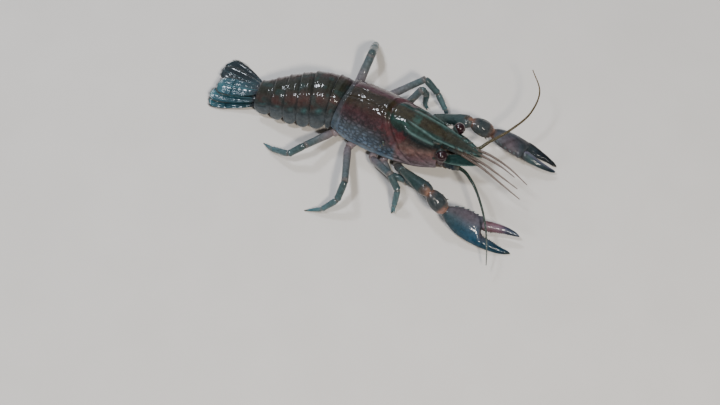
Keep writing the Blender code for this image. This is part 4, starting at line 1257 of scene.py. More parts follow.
def articulated(joints: object, radii: object, rows: int, sides: int,
                flare: float = 1.14) -> tuple[np.ndarray, np.ndarray]:
    """A limb of straight articles: each swells from a pinched joint to a flared lip before the next.

    Args:
        joints: the joints, first to last.
        radii: radius at each joint.
        rows: rings in each article.
        sides: points in a ring.
        flare: size of the lip as a share of the radius.

    Returns:
        Grid of rings, and for each ring the article's number plus the share along it.
    """
    joints = np.array(joints, float)
    radii = np.array(radii, float)
    share = np.linspace(0.0, 1.0, rows)
    profile = np.interp(share, (0.0, 0.05, 0.2, 0.5, 0.8, 0.91, 0.955, 1.0),
                        (0.8, 0.9, 1.05, 1.06, 1.03, flare, 1.02, 0.8))
    last = np.interp(share, (0.0, 0.06, 0.2, 0.6, 1.0), (0.8, 0.95, 1.05, 1.0, 1.0))
    path, size, place = [], [], []
    for i in range(len(joints) - 1):
        ends = i == len(joints) - 2
        keep = slice(None) if ends else slice(0, rows - 1)
        path.append((joints[i] + (joints[i + 1] - joints[i]) * share[:, None])[keep])
        size.append((radii[i] + (radii[i + 1] - radii[i]) * share) [keep] * (last if ends else profile)[keep])
        place.append((i + share)[keep])
    path, size = np.concatenate(path), np.concatenate(size)
    normal = np.cross(joints[1] - joints[0], joints[-1] - joints[0])
    side = unit(normal) if np.linalg.norm(normal) > 1e-6 else UP
    kernel = np.hanning(19)[1:-1] / np.hanning(19).sum()
    soft = np.stack([np.convolve(np.pad(path[:, k], 8, mode="edge"), kernel, "valid") for k in range(3)], -1)
    soft[[0, -1]] = path[[0, -1]]
    return tube(soft, size, size, side, sides), np.concatenate(place)


def above_share(grid: np.ndarray) -> np.ndarray:
    """Share from 0 under a limb to 1 on its upper side, from each point's height in its own ring."""
    height = grid[..., 2] - grid[..., 2].mean(axis=1, keepdims=True)
    return ramp(height / np.maximum(np.abs(height).max(axis=1, keepdims=True), 1e-6), -0.7, 0.7)


@dataclass(frozen=True)
class WalkingLeg:
    """One walking leg: root, hip, knee, wrist, hand and tip, split at the knee as its solids are."""

    node: str
    joints: tuple[Point, ...]
    stout: float = 1.0
    pincer: bool = False
    radii: tuple = (0.8, 0.93, 0.85, 0.77, 0.6, 0.26)
    knee: int = 2
    rows: int = 46
    sides: int = 36

    def tint(self, grid: np.ndarray, place: np.ndarray, stops: Stops) -> np.ndarray:
        """Colour along the leg, paler below, with pink soft skin at each joint.

        Args:
            grid: the leg's rings.
            place: article number plus share along it.
            stops: colours by that place.

        Returns:
            Array of colours.
        """
        wobble = 0.25 * (cloud(grid, 1.2, 71) - 0.5)
        tint = gradient(stops, np.broadcast_to(place[:, None], grid.shape[:2]) + wobble)
        under = mixed(tint, linear("#8c8a84"), np.full(grid.shape[:2], 0.35))
        tint = mixed(under, tint, above_share(grid))
        joint = hill(place - np.round(place), 0.06)[:, None] * (np.round(place) > 0)[:, None]
        return mixed(tint, linear("#8a6f66"), 0.35 * np.broadcast_to(joint, grid.shape[:2]))

    def build(self, finishes: Finishes) -> None:
        """Makes the upper and the lower piece, with bristles on the last two articles.

        Args:
            finishes: the materials.
        """
        radii = np.array(self.radii) * self.stout
        root = np.array(self.joints[0], float)
        inward = root - np.array([0.0, math.copysign(0.8, root[1]), -0.3])
        joints = np.array([inward, *self.joints[1:]], float)
        grid, place = articulated(joints[: self.knee + 1], radii[: self.knee + 1], self.rows, self.sides)
        grid = raised(grid, 0.05 * (cloud(grid, 0.8, 73) - 0.5))
        stops = ((0.0, "#ab989d"), (0.5, "#a09198"), (1.1, "#877e84"), (1.6, "#666f72"), (2.0, "#54686d"))
        skin = Skin(f"{self.node}_thigh")
        skin.add(grid, self.tint(grid, place, stops))
        skin.make(finishes.limb, (f"{self.node}_upper",))
        self.shin(joints[self.knee:], radii[self.knee:], finishes)

    def shin(self, joints: np.ndarray, radii: np.ndarray, finishes: Finishes) -> None:
        """Makes the lower piece: three articles down to a horny tip on the floor, and a pincer's other finger.

        Args:
            joints: knee, wrist, hand and tip.
            radii: radius at each.
            finishes: the materials.
        """
        grid, place = articulated(joints, radii, self.rows, self.sides)
        tip = place > 2.0
        grid[tip] = grid[tip].mean(axis=1, keepdims=True) + (
            grid[tip] - grid[tip].mean(axis=1, keepdims=True)) * np.interp(
                place[tip], (2.0, 2.5, 3.0), (1.0, 0.85, 0.55))[:, None, None]
        grid = raised(grid, 0.05 * (cloud(grid, 0.8, 79) - 0.5))
        grid[..., 2] = np.maximum(grid[..., 2], 0.0)
        stops = ((0.0, "#47595b"), (0.8, "#4c6467"), (1.4, "#577176"), (2.2, "#5b7f86"), (2.7, "#3f7480"),
                 (3.0, "#6d6552"))
        skin = Skin(f"{self.node}_shin")
        skin.add(grid, self.tint(grid, place, stops))
        if self.pincer:
            wrist, hand, end = joints[-3:]
            finger = end - hand
            aside = unit(np.cross(np.cross(hand - wrist, finger), finger))
            aside = aside if aside[2] > 0.0 else -aside
            way = finger + 0.5 * np.linalg.norm(finger) * aside
            claw = thorn(hand, way, 0.85 * np.linalg.norm(finger), 0.4, -0.04, 20)
            claw[..., 2] = np.maximum(claw[..., 2], 0.05)
            skin.add(claw, linear("#4f7880"))
        self.bristles(skin, grid, place)
        skin.make(finishes.limb, (f"{self.node}_lower",))

    def bristles(self, skin: Skin, grid: np.ndarray, place: np.ndarray) -> None:
        """Adds short setae that lean to the tip, set in tufts on the hand and the last article.

        Args:
            skin: the lower piece's skin.
            grid: its rings.
            place: article number plus share along it.
        """
        rows = np.nonzero((place > 1.25) & (place < 2.75))[0]
        row = rows[np.arange(70) * 7 % len(rows)]
        column = (np.arange(70) * 11 + row * 5) % self.sides
        roots = grid[row, column]
        along = unit(grid[np.minimum(row + 1, len(grid) - 1)].mean(axis=1) - grid[row - 1].mean(axis=1))
        ways = unit(outward(grid)[row, column] * 0.7 + along)
        keep = roots[:, 2] > 0.3
        lengths = 0.35 + 0.3 * scatter(np.stack([row, column, row], -1), 83)
        skin.add_hairs(roots[keep], ways[keep], lengths[keep], 0.024, 0.1, linear("#565c56"))


@dataclass(frozen=True)
class Cheliped:
    """One claw limb: base, merus, carpus, and the hand with its movable finger."""

    side: str
    # Root, bend, the joints at the merus, carpus and hand, and the tip of the fixed finger
    joints: tuple[Point, ...]
    medial: float
    gape: float
    merus_swell: tuple = ((0.0, 0.9), (0.2, 1.2), (0.45, 1.45), (0.72, 1.75), (0.86, 1.72), (0.95, 1.5), (1.0, 1.2))
    carpus_swell: tuple = ((0.0, 1.05), (0.1, 1.5), (0.3, 1.95), (0.5, 2.15), (0.75, 2.0), (0.92, 1.6), (1.0, 1.2))
    hand_roll: float = 25.0
    # Along the hand: half width, half thickness, shift to the outer side
    palm: tuple = ((0.0, 1.1, 0.95, 0.0), (0.03, 1.5, 1.2, 0.0), (0.08, 2.1, 1.42, 0.0), (0.22, 3.0, 1.65, 0.0),
                   (0.4, 3.3, 1.6, 0.0), (0.485, 3.2, 1.45, 0.05), (0.51, 2.6, 1.38, 0.55), (0.535, 1.85, 1.32, 1.3),
                   (0.57, 1.5, 1.22, 1.6), (0.7, 1.25, 1.0, 1.45), (0.88, 0.75, 0.6, 1.0), (0.97, 0.4, 0.38, 0.5),
                   (1.0, 0.14, 0.16, 0.35))
    finger: tuple = ((0.49, 0.75, 0.8, -1.85), (0.53, 1.15, 1.1, -1.85), (0.6, 1.18, 1.05, -1.85),
                     (0.7, 1.05, 0.86, -1.8), (0.88, 0.7, 0.54, -1.4), (0.97, 0.38, 0.34, -0.95),
                     (1.0, 0.14, 0.16, -0.75))
    sides: int = 96

    def axes(self) -> tuple[np.ndarray, np.ndarray, np.ndarray, float]:
        """The hand's directions along it, to its inner edge and out of its upper face, and its length.

        Returns:
            Three directions and the length.
        """
        start, end = np.array(self.joints[4:], float)
        along = unit(end - start)
        inward = unit(np.cross(UP, along)) * self.medial
        lift = np.cross(along, inward) * self.medial
        roll = math.radians(self.hand_roll)
        return (along, inward * math.cos(roll) + lift * math.sin(roll),
                lift * math.cos(roll) - inward * math.sin(roll), float(np.linalg.norm(end - start)))

    def hand_rings(self, table: tuple, part: np.ndarray) -> tuple[np.ndarray, np.ndarray]:
        """Rings of the palm or a finger: ellipses a little flattened, set off from the hand's axis.

        Args:
            table: along the hand, half width, half thickness and shift.
            part: shares along the hand, one a ring.

        Returns:
            Grid of rings, and the angle of each column, 0 at the inner edge.
        """
        along, inward, lift, length = self.axes()
        half, thick, shift = blend(table, part).T
        angles = np.arange(self.sides) * 2 * math.pi / self.sides
        path = np.array(self.joints[4]) + along * (part * length)[:, None] - inward * shift[:, None]
        wide = np.sign(np.cos(angles)) * np.abs(np.cos(angles)) ** 0.94
        high = np.sign(np.sin(angles)) * np.abs(np.sin(angles)) ** 1.05
        return (path[:, None, :] + (half[:, None] * wide)[..., None] * inward
                + (thick[:, None] * high)[..., None] * lift), angles

    def swung(self, points: np.ndarray, hinge: np.ndarray) -> np.ndarray:
        """Turns the movable finger out about its hinge by the gape.

        Args:
            points: array of points.
            hinge: the hinge's point.

        Returns:
            The turned points.
        """
        along, inward, lift, _ = self.axes()
        angle = math.radians(self.gape)
        ahead, aside, over = ((points - hinge) @ axis for axis in (along, inward, lift))
        turned = ahead * math.cos(angle) - aside * math.sin(angle)
        aside = ahead * math.sin(angle) + aside * math.cos(angle)
        return hinge + turned[..., None] * along + aside[..., None] * inward + over[..., None] * lift

    def paint(self, grid: np.ndarray, angles: np.ndarray, part: np.ndarray, inner: Stops, outer: Stops) -> np.ndarray:
        """Mauve on the upper inner side and teal blue on the outer side, each with its own run to the tip.

        Args:
            grid: rings.
            angles: of the columns, 0 at the inner edge.
            part: shares along the hand.
            inner: colours of the inner side by share.
            outer: colours of the outer side by share.

        Returns:
            Array of colours.
        """
        wobble = 0.12 * (cloud(grid, 1.6, 91) - 0.5)
        where = np.broadcast_to(part[:, None], grid.shape[:2]) + wobble
        share = ramp(np.cos(angles)[None, :] + 1.6 * wobble, -0.35, 0.55)
        return mixed(gradient(outer, where), gradient(inner, where), share)

    def build(self, finishes: Finishes) -> None:
        """Makes the limb's five pieces.

        Args:
            finishes: the materials.
        """
        joints = np.array(self.joints, float)
        start = joints[0] - np.array([0.0, math.copysign(0.8, joints[0][1]), -0.3])
        grid, place = articulated([start, joints[1], joints[2]], (0.95, 0.98, 0.98), 60, 48)
        skin = Skin(f"claw_{self.side}_base")
        tint = gradient(((0.0, "#9c8980"), (1.0, "#6f6a68"), (2.0, "#4b5a5a")), place)
        skin.add(raised(grid, 0.06 * (cloud(grid, 0.8, 87) - 0.5)), np.broadcast_to(tint[:, None, :], grid.shape))
        skin.make(finishes.limb, (f"cheliped_{self.side}_base",))
        self.article("merus", joints[2], joints[3], self.merus_swell, finishes)
        self.article("carpus", joints[3], joints[4], self.carpus_swell, finishes)
        self.hand(finishes)

    def article(self, name: str, start: np.ndarray, end: np.ndarray, swell: tuple, finishes: Finishes) -> None:
        """Makes the merus or carpus: swelling rings with a furrow, granules, spines and an orange joint.

        Args:
            name: merus or carpus.
            start: its near joint.
            end: its far joint.
            swell: half width by share along.
            finishes: the materials.
        """
        part = np.linspace(-0.04, 1.04, 120)
        shape = blend(swell, np.clip(part, 0, 1))[:, 0] * np.interp(part, (-0.04, 0.0, 1.0, 1.04), (0.7, 1.0, 1.0, 0.7))
        along = unit(end - start)
        side = unit(np.cross(UP, along))
        grid = tube(start + (end - start) * part[:, None], shape, shape * 0.85, side, 84)
        upward = np.cross(along, side)
        offset = (grid - grid.mean(axis=1, keepdims=True)) / shape[:, None, None]
        above, inner = offset @ upward, offset @ side * self.medial
        share = np.broadcast_to(part[:, None], grid.shape[:2])
        grains, luck = pebbles(grid, 0.6, 97)
        height = 0.06 * (cloud(grid, 1.1, 95) - 0.5) + 0.05 * (grains * luck - 0.3) * ramp(inner, -0.2, 0.5)
        height = height - 0.12 * hill(above - 0.75 + 0.2 * share, 0.1) * ramp(share, 0.2, 0.4) * (name == "carpus")
        grid = raised(grid, height - 0.1 * hill(share - 0.93, 0.02))
        if name == "merus":
            tint = gradient(((0.0, "#4a5450"), (0.4, "#3a4f4d"), (0.78, "#354a4b"), (0.93, "#5f5049"), (1.0, "#8d6a58")),
                            share + 0.1 * (cloud(grid, 1.2, 99) - 0.5))
            tint = mixed(tint, linear("#2f4a50"), 0.8 * ramp(share, 0.75, 0.9) * ramp(inner, -0.1, 0.5))
            tint = mixed(linear("#6f6a64") + 0 * tint, tint, ramp(above, -0.8, -0.2))
        else:
            tint = gradient(((0.0, "#7a5646"), (0.1, "#4f4e4f"), (0.25, "#3a4548"), (0.7, "#43494c"), (0.86, "#64544e"),
                             (0.97, "#a07a6a")), share + 0.1 * (cloud(grid, 1.2, 99) - 0.5))
            tint = mixed(tint, linear("#b5887a"), 0.7 * ramp(share, 0.66, 0.88) * ramp(inner, 0.3, -0.35))
        skin = Skin(f"claw_{self.side}_{name}")
        skin.add(grid, tint)
        spots = ((0.86, upward, 1.0), (0.7, side * self.medial, 0.7), (0.5, side * self.medial, 0.5)) if (
            name == "merus") else ((0.7, side * self.medial, 1.05), (0.45, side * self.medial, 0.6), (0.8, upward, 0.5))
        for at, way, length in spots:
            half = float(np.interp(at, *np.array(swell).T)) * (0.85 if abs(way @ upward) > 0.5 else 1.0)
            root = start + (end - start) * at + way * (half - 0.12)
            skin.add(thorn(root, along * 0.8 + way, length, 0.3, 0.1), linear("#5b5a52"))
        skin.make(finishes.limb, (f"cheliped_{self.side}_{name}",))

    def teeth(self, skin: Skin, grid: np.ndarray, part: np.ndarray, column: int, low: float, tint: np.ndarray) -> None:
        """Adds blunt teeth along a finger's cutting edge, largest near the hinge.

        Args:
            skin: the finger's skin.
            grid: its rings.
            part: shares along the hand.
            column: the column that faces the other finger.
            low: share where the teeth start.
            tint: their colour.
        """
        normals = outward(grid)
        for number, at in enumerate(np.linspace(low, 0.93, 13)):
            row = int(np.searchsorted(part, at))
            size = 0.26 * (1.0 - 0.6 * (at - low) / (0.95 - low)) * (1.25 if number % 4 == 1 else 0.85)
            skin.add(thorn(grid[row, column], normals[row, column], size, size * 0.75, 0.0, 8), tint)

    def hand(self, finishes: Finishes) -> None:
        """Makes the palm with its fixed finger, and the movable finger.

        Args:
            finishes: the materials.
        """
        along, inward, lift, length = self.axes()
        part = np.concatenate([np.linspace(-0.015, 0.5, 110)[:-1], np.linspace(0.5, 0.6, 50)[:-1], np.linspace(0.6, 1.0, 90)])
        grid, angles = self.hand_rings(self.palm, np.clip(part, 0.0, 1.0))
        grid += along * (np.minimum(part, 0.0) * length)[:, None, None]
        middle = grid.mean(axis=1, keepdims=True)
        grid = middle + (grid - middle) * np.interp(part, (-0.015, 0.0), (0.7, 1.0))[:, None, None]
        share = np.broadcast_to(part[:, None], grid.shape[:2])
        face = np.abs(np.sin(angles))[None, :]
        height = 0.07 * (cloud(grid, 1.5, 101) - 0.5) - 0.05 * hill(face - 0.8, 0.12) * ramp(share, 0.58, 0.66)
        grains, luck = pebbles(grid, 0.75, 103)
        rough = ramp(np.abs(np.cos(angles)), 0.55, 0.9)[None, :] * ramp(share, 0.55, 0.45)
        height = height + 0.05 * (grains * luck - 0.25) * (0.3 + rough)
        grid = raised(grid, height)
        grid[..., 2] = np.maximum(grid[..., 2], 0.0)
        near = self.medial > 0
        inner = ((0.0, "#7c5a48"), (0.06, "#57545a"), (0.3, "#625a63"), (0.5, "#5e5c66"), (0.7, "#2d4a5c"), (0.85, "#123a4e"),
                 (1.0, "#0d2c3e"))
        outer = ((0.0, "#6a5448"), (0.06, "#3b4f57"), (0.3, "#2b4d5e"), (0.5, "#26506a"), (0.7, "#154458"), (0.88, "#0c3246"),
                 (1.0, "#3f4a44"))
        # The left claw gets darker copies of the colours, near black towards its tip: painted shade
        if not near:
            inner = ((0.0, "#7a5a4c"), (0.06, "#50555c"), (0.3, "#62585f"), (0.5, "#3a464c"), (0.7, "#1c262e"), (1.0, "#10161d"))
            outer = ((0.0, "#5e4f48"), (0.06, "#434b52"), (0.3, "#434c58"), (0.5, "#23252c"), (0.7, "#15161b"), (1.0, "#0e1014"))
        skin = Skin(f"claw_{self.side}_palm")
        skin.add(grid, self.paint(grid, angles, part, inner, outer))
        self.teeth(skin, grid, part, 0, 0.6, linear("#4c5354"))
        for number, at in enumerate((0.1, 0.17, 0.24, 0.31, 0.38, 0.45)):
            half = float(blend(self.palm, at)[0][0])
            root = np.array(self.joints[4]) + along * (at * length) + inward * (half - 0.1)
            skin.add(thorn(root, inward + 0.9 * along, 0.75 - 0.06 * number, 0.27, 0.05), linear("#5f696b"))
        skin.make(finishes.claw, (f"cheliped_{self.side}_propodus",))
        self.dactyl(finishes)

    def dactyl(self, finishes: Finishes) -> None:
        """Makes the movable finger, open by the gape, with a ridge and teeth.

        Args:
            finishes: the materials.
        """
        along, inward, lift, length = self.axes()
        part = np.linspace(0.49, 1.0, 150)
        grid, angles = self.hand_rings(self.finger, part)
        hinge = np.array(self.joints[4]) + along * (0.525 * length) + inward * 1.85
        share = np.broadcast_to(part[:, None], grid.shape[:2])
        up = np.sin(angles)[None, :] if (lift @ UP) > 0 else -np.sin(angles)[None, :]
        height = 0.05 * (cloud(grid, 1.1, 107) - 0.5) + 0.07 * hill(up - 0.97, 0.15) - 0.05 * hill(np.abs(up) - 0.6, 0.15)
        grid = self.swung(raised(grid, height * ramp(share, 0.52, 0.6)), hinge)
        grid[..., 2] = np.maximum(grid[..., 2], 0.0)
        near = self.medial > 0
        stops = (((0.49, "#5a4c50"), (0.6, "#8b6670"), (0.72, "#7d5c6b"), (0.82, "#3d3f55"), (0.9, "#142d42"), (1.0, "#0c1f30"))
                 if near else
                 ((0.49, "#4a4a4e"), (0.6, "#3f5558"), (0.75, "#2b3c42"), (0.88, "#1d2a33"), (1.0, "#123340")))
        tint = self.paint(grid, angles, part, stops, stops)
        # A pale lilac line along the finger's top crest: a painted highlight for its glint line
        tint = mixed(tint, linear("#8c89a4" if not near else "#8a93a8"), (0.4 if not near else 0.25) * hill(up - 1.0, 0.1)
                     * np.ones_like(share))
        skin = Skin(f"claw_{self.side}_finger")
        skin.add(grid, tint)
        self.teeth(skin, grid, part, self.sides // 2, 0.6, linear("#4c5354"))
        skin.make(finishes.claw, (f"cheliped_{self.side}_dactyl",))


@dataclass(frozen=True)
class Eyes:
    """Two black beads on short stalks, set under the sides of the rostrum."""

    centre: Point = (28.3, 4.4, 11.7)
    radius: float = 1.4
    stalk_root: Point = (26.6, 2.1, 11.1)
    stalk_radius: float = 0.76

    def build(self, finishes: Finishes) -> None:
        """Makes each stalk with its cuff, and each cornea as a ball with rings about the stalk's axis.

        Args:
            finishes: the materials.
        """
        for side, sign in SIDES:
            root = np.array(self.stalk_root) * np.array([1.0, sign, 1.0])
            eye = np.array(self.centre) * np.array([1.0, sign, 1.0])
            axis = unit(eye - root)
            reach = float(np.linalg.norm(eye - root))
            t = np.linspace(0.0, 1.0, 60)
            size = np.interp(t, (0.0, 0.3, 0.62, 0.7, 0.78, 1.0), (0.7, 0.72, 0.8, 1.1, 1.28, 0.9))
            grid = tube(root + axis * (t * reach * 0.86)[:, None], size, size, UP, 48)
            grid = raised(grid, 0.04 * (cloud(grid, 0.5, 113) - 0.5))
            stalk = Skin(f"eye_stalk_{side}")
            stalk.add(grid, np.broadcast_to(gradient(((0.0, "#5d4a44"), (0.7, "#3d4b49"), (1.0, "#20292a")), t)[:, None, :],
                                            grid.shape))
            stalk.make(finishes.limb, (f"eyestalk_{side}",))
            polar = np.linspace(0.0, math.pi, 66)[1:-1]
            ball = tube(eye - axis * (np.cos(polar) * self.radius * 0.97)[:, None], np.sin(polar) * self.radius,
                        np.sin(polar) * self.radius, UP, 80)
            cornea = Skin(f"eye_cornea_{side}")
            cornea.add(ball, linear("#120a0d"))
            cornea.make(finishes.eye, (f"eye_{side}",))


@dataclass(frozen=True)
class Feelers:
    """Antennae with their stalks and scales, and the paired antennules."""

    stalk: tuple = ((26.2, 3.0, 7.9), (28.6, 3.15, 7.8), (30.7, 3.2, 7.75), (32.5, 3.05, 7.9))
    stalk_radii: tuple = (1.1, 1.2, 1.02, 0.62)
    scale_root: Point = (28.3, 4.2, 9.6)
    scale_tip: Point = (36.4, 1.3, 9.95)
    scale_width: float = 3.0
    lash_radii: tuple = (0.46, 0.3, 0.22, 0.11)
    left: tuple = ((32.0, 3.1, 7.93), (32.8, 3.1, 7.95), (35.6, 6.4, 9.2), (38.6, 11.3, 10.2), (40.6, 17.0, 11.2),
                   (40.0, 22.4, 12.6), (36.2, 26.0, 14.2))
    right: tuple = ((32.0, -3.1, 7.93), (32.8, -3.1, 7.95), (36.6, -5.2, 8.9), (41.2, -9.3, 8.6), (45.0, -13.8, 7.2),
                    (47.4, -17.6, 5.2), (48.8, -20.2, 3.2))
    antennule: tuple = ((26.1, 1.0, 10.95), (28.4, 1.0, 11.0), (30.4, 1.0, 10.98), (32.2, 1.0, 10.95))
    antennule_radii: tuple = (0.62, 0.68, 0.6, 0.5)
    lashes: dict = field(default_factory=lambda: {
        "right": (((37.5, -1.9, 10.6), (43.0, -2.6, 9.0), (48.2, -3.0, 7.0)),
                  ((37.5, -0.9, 10.8), (42.6, -1.4, 9.8), (46.8, -1.7, 8.6))),
        "left": (((37.5, 1.9, 10.9), (42.6, 1.6, 10.0), (48.2, 0.6, 8.2)),
                 ((37.5, 0.6, 11.2), (41.6, 0.3, 11.0), (45.2, -0.3, 10.4)))})
    ring_mm: float = 0.42

    def ringed(self, path: np.ndarray, radii: tuple, sides: int) -> tuple[np.ndarray, np.ndarray]:
        """A whip of short rings: radius (1 + 0.09 |sin|) along it, tapering to its tip.

        Args:
            path: points that it follows.
            radii: radius at even places along it.
            sides: points in a ring.

        Returns:
            Grid of rings, and 1 in each joint between rings to 0 on a ring's crown.
        """
        length = float(np.linalg.norm(np.diff(np.array(path), axis=0), axis=1).sum())
        line = smooth_path(path, int(length / self.ring_mm * 9))
        t = np.linspace(0.0, 1.0, len(line))
        beat = np.abs(np.sin(t * length / self.ring_mm * math.pi))
        size = np.interp(t, np.linspace(0.0, 1.0, len(radii)), radii) * (0.93 + 0.13 * beat)
        return tube(line, size, size, UP, sides), 1.0 - beat

    def whip(self, name: str, path: tuple, stops: Stops, replaces: tuple[str, ...], finishes: Finishes) -> None:
        """Makes one antenna's whip.

        Args:
            name: the piece's name.
            path: points that it follows.
            stops: colours along it.
            replaces: solids that it stands for.
            finishes: the materials.
        """
        grid, joint = self.ringed(np.array(path), self.lash_radii, 18)
        tint = gradient(stops, np.linspace(0.0, 1.0, len(grid)))
        tint = mixed(tint, linear("#1d1a14"), 0.5 * joint)
        skin = Skin(name)
        skin.add(grid, np.broadcast_to(tint[:, None, :], grid.shape))
        skin.make(finishes.feeler, replaces)

    def scale(self, side: str, sign: float, finishes: Finishes) -> None:
        """Makes the antennal scale: a leaf with a thick straight outer edge that ends in a spine, and its fringe.

        Args:
            side: left or right.
            sign: 1 or -1.
            finishes: the materials.
        """
        mirror = np.array([1.0, sign, 1.0])
        root, tip = np.array(self.scale_root) * mirror, np.array(self.scale_tip) * mirror
        t = np.linspace(0.0, 1.0, 110)
        half = 0.5 * self.scale_width * np.interp(t, (0.0, 0.15, 0.4, 0.7, 0.88, 0.97, 1.0), (0.45, 0.8, 1.0, 0.85, 0.5, 0.2, 0.06))
        inward = np.array([0.0, -sign, 0.0])
        path = root + (tip - root) * t[:, None] + inward * (half - half[-1])[:, None] * 0.5
        grid = tube(path, half, np.interp(t, (0.0, 0.4, 1.0), (0.4, 0.3, 0.14)), inward, 64)
        angles = np.arange(64) * 2 * math.pi / 64
        across = np.cos(angles)[None, :]
        top = ramp(grid[..., 2] - grid[..., 2].mean(axis=1, keepdims=True), 0.0, 0.08)
        grid = raised(grid, top * (0.1 * hill(across + 0.72, 0.12) - 0.08 * hill(across, 0.5)) * ramp(t, 1.0, 0.85)[:, None])
        tint = mixed(np.broadcast_to(linear("#24413f"), grid.shape), linear("#5f7f7a"), ramp(np.abs(across), 0.8, 1.0)
                     * np.ones((110, 1)))
        skin = Skin(f"feeler_scale_{side}")
        skin.add(grid, tint)
        skin.add(thorn(tip - np.array([0.5, 0.0, 0.0]), (1.0, -0.05 * sign, 0.0), 0.9, 0.2, 0.0), linear("#8b7a62"))
        row = np.linspace(18, 104, 90).astype(int)
        edge = grid[row, 0]
        ways = unit(inward + np.array([0.9, 0.0, 0.0]) + 0 * edge)
        skin.add_hairs(edge, ways, 0.55 + 0.25 * scatter(np.stack([row] * 3, -1), 117), 0.024, 0.1, linear("#4c5450"))
        skin.make(finishes.limb, (f"antennal_scale_{side}",))

    def build(self, finishes: Finishes) -> None:
        """Makes both antennae, scales and antennules.

        Args:
            finishes: the materials.
        """
        for side, sign in SIDES:
            mirror = np.array([1.0, sign, 1.0])
            grid, place = articulated(np.array(self.stalk) * mirror, self.stalk_radii, 40, 48, 1.08)
            grid = raised(grid, 0.06 * (cloud(grid, 0.8, 119) - 0.5))
            tint = gradient(((0.0, "#5b4a4a"), (0.8, "#6a575a"), (1.4, "#33434a"), (2.2, "#23313c"), (3.0, "#5c5a50")), place)
            skin = Skin(f"feeler_stalk_{side}")
            skin.add(grid, np.broadcast_to(tint[:, None, :], grid.shape))
            skin.add(thorn(np.array((29.0, 4.15, 7.3)) * mirror, (1.0, 0.3 * sign, -0.1), 0.9, 0.28), linear("#7b6a58"))
            skin.make(finishes.limb, (f"antenna_base_{side}",))
            self.scale(side, sign, finishes)
            stops = (((0.0, "#3d4a3a"), (0.2, "#5f5438"), (0.7, "#63512f"), (1.0, "#7a6238")) if sign > 0 else
                     ((0.0, "#24382f"), (0.35, "#2e4238"), (0.7, "#54615a"), (1.0, "#7d8480")))
            self.whip(f"feeler_whip_{side}", self.left if sign > 0 else self.right, stops,
                      (f"antenna_near_{side}", f"antenna_far_{side}"), finishes)
            grid, place = articulated(np.array(self.antennule) * mirror, self.antennule_radii, 34, 36, 1.06)
            skin = Skin(f"small_feelers_{side}")
            tint = gradient(((0.0, "#2c3838"), (1.5, "#374142"), (3.0, "#5f574f")), place)
            skin.add(grid, np.broadcast_to(tint[:, None, :], grid.shape))
            for number, lash in enumerate(self.lashes[side]):
                start = (31.9, sign * (1.25 if abs(lash[0][1]) > 1.5 else 0.75), 10.95)
                rings, joint = self.ringed(np.array((start, *lash)), (0.38, 0.3, 0.22, 0.11), 14)
                colours = gradient(((0.0, "#6f625a"), (1.0, "#a08f88")), np.linspace(0.0, 1.0, len(rings)))
                colours = mixed(colours, linear("#3b332d"), 0.5 * joint)
                skin.add(rings, np.broadcast_to(colours[:, None, :], rings.shape))
            skin.make(finishes.feeler, (f"antennule_{side}",))


@dataclass(frozen=True)
class Mouthparts:
    """The outer pair of maxillipeds with their bristles, and the jaws behind them."""

    joints: tuple = ((20.4, 1.5, 2.6), (24.6, 2.2, 2.7), (27.6, 2.0, 4.0), (29.6, 1.3, 5.2))
    radii: tuple = (0.85, 0.8, 0.6, 0.22)

    def build(self, finishes: Finishes) -> None:
        """Makes both maxillipeds and the jaws.

        Args:
            finishes: the materials.
        """
        for side, sign in SIDES:
            grid, place = articulated(np.array(self.joints) * np.array([1.0, sign, 1.0]), self.radii, 40, 40)
            tint = gradient(((0.0, "#a08a7e"), (1.5, "#86776e"), (3.0, "#6d6a60")), place)
            skin = Skin(f"mouth_leg_{side}")
            skin.add(raised(grid, 0.05 * (cloud(grid, 0.7, 127) - 0.5)), np.broadcast_to(tint[:, None, :], grid.shape))
            row = np.linspace(8, len(grid) - 6, 110).astype(int)
            column = (np.arange(110) * 7) % 40
            roots = grid[row, column]
            inner = roots[:, 1] * sign < grid[row].mean(axis=1)[:, 1] * sign
            ways = unit(np.array([0.8, -0.8 * sign, -0.2]) + 0 * roots)
            skin.add_hairs(roots[inner], ways[inner], np.full(int(inner.sum()), 0.6), 0.028, 0.1, linear("#8a7a5a"))
            skin.make(finishes.under, (f"maxilliped_{side}",))
        skin = Skin("jaws")
        for sign in (-1.0, 1.0):
            t = np.linspace(0.0, 1.0, 30)
            path = np.column_stack([23.5 + 2.6 * t, sign * (1.25 - 0.5 * t), 4.5 + 0.5 * t])
            size = 0.75 * np.sin(np.clip(t * 0.9 + 0.1, 0, 1) * math.pi) ** 0.5 + 0.05
            skin.add(tube(path, size, size * 0.8, (0.0, 1.0, 0.0), 24), linear("#8d7668"))
        skin.make(finishes.under)


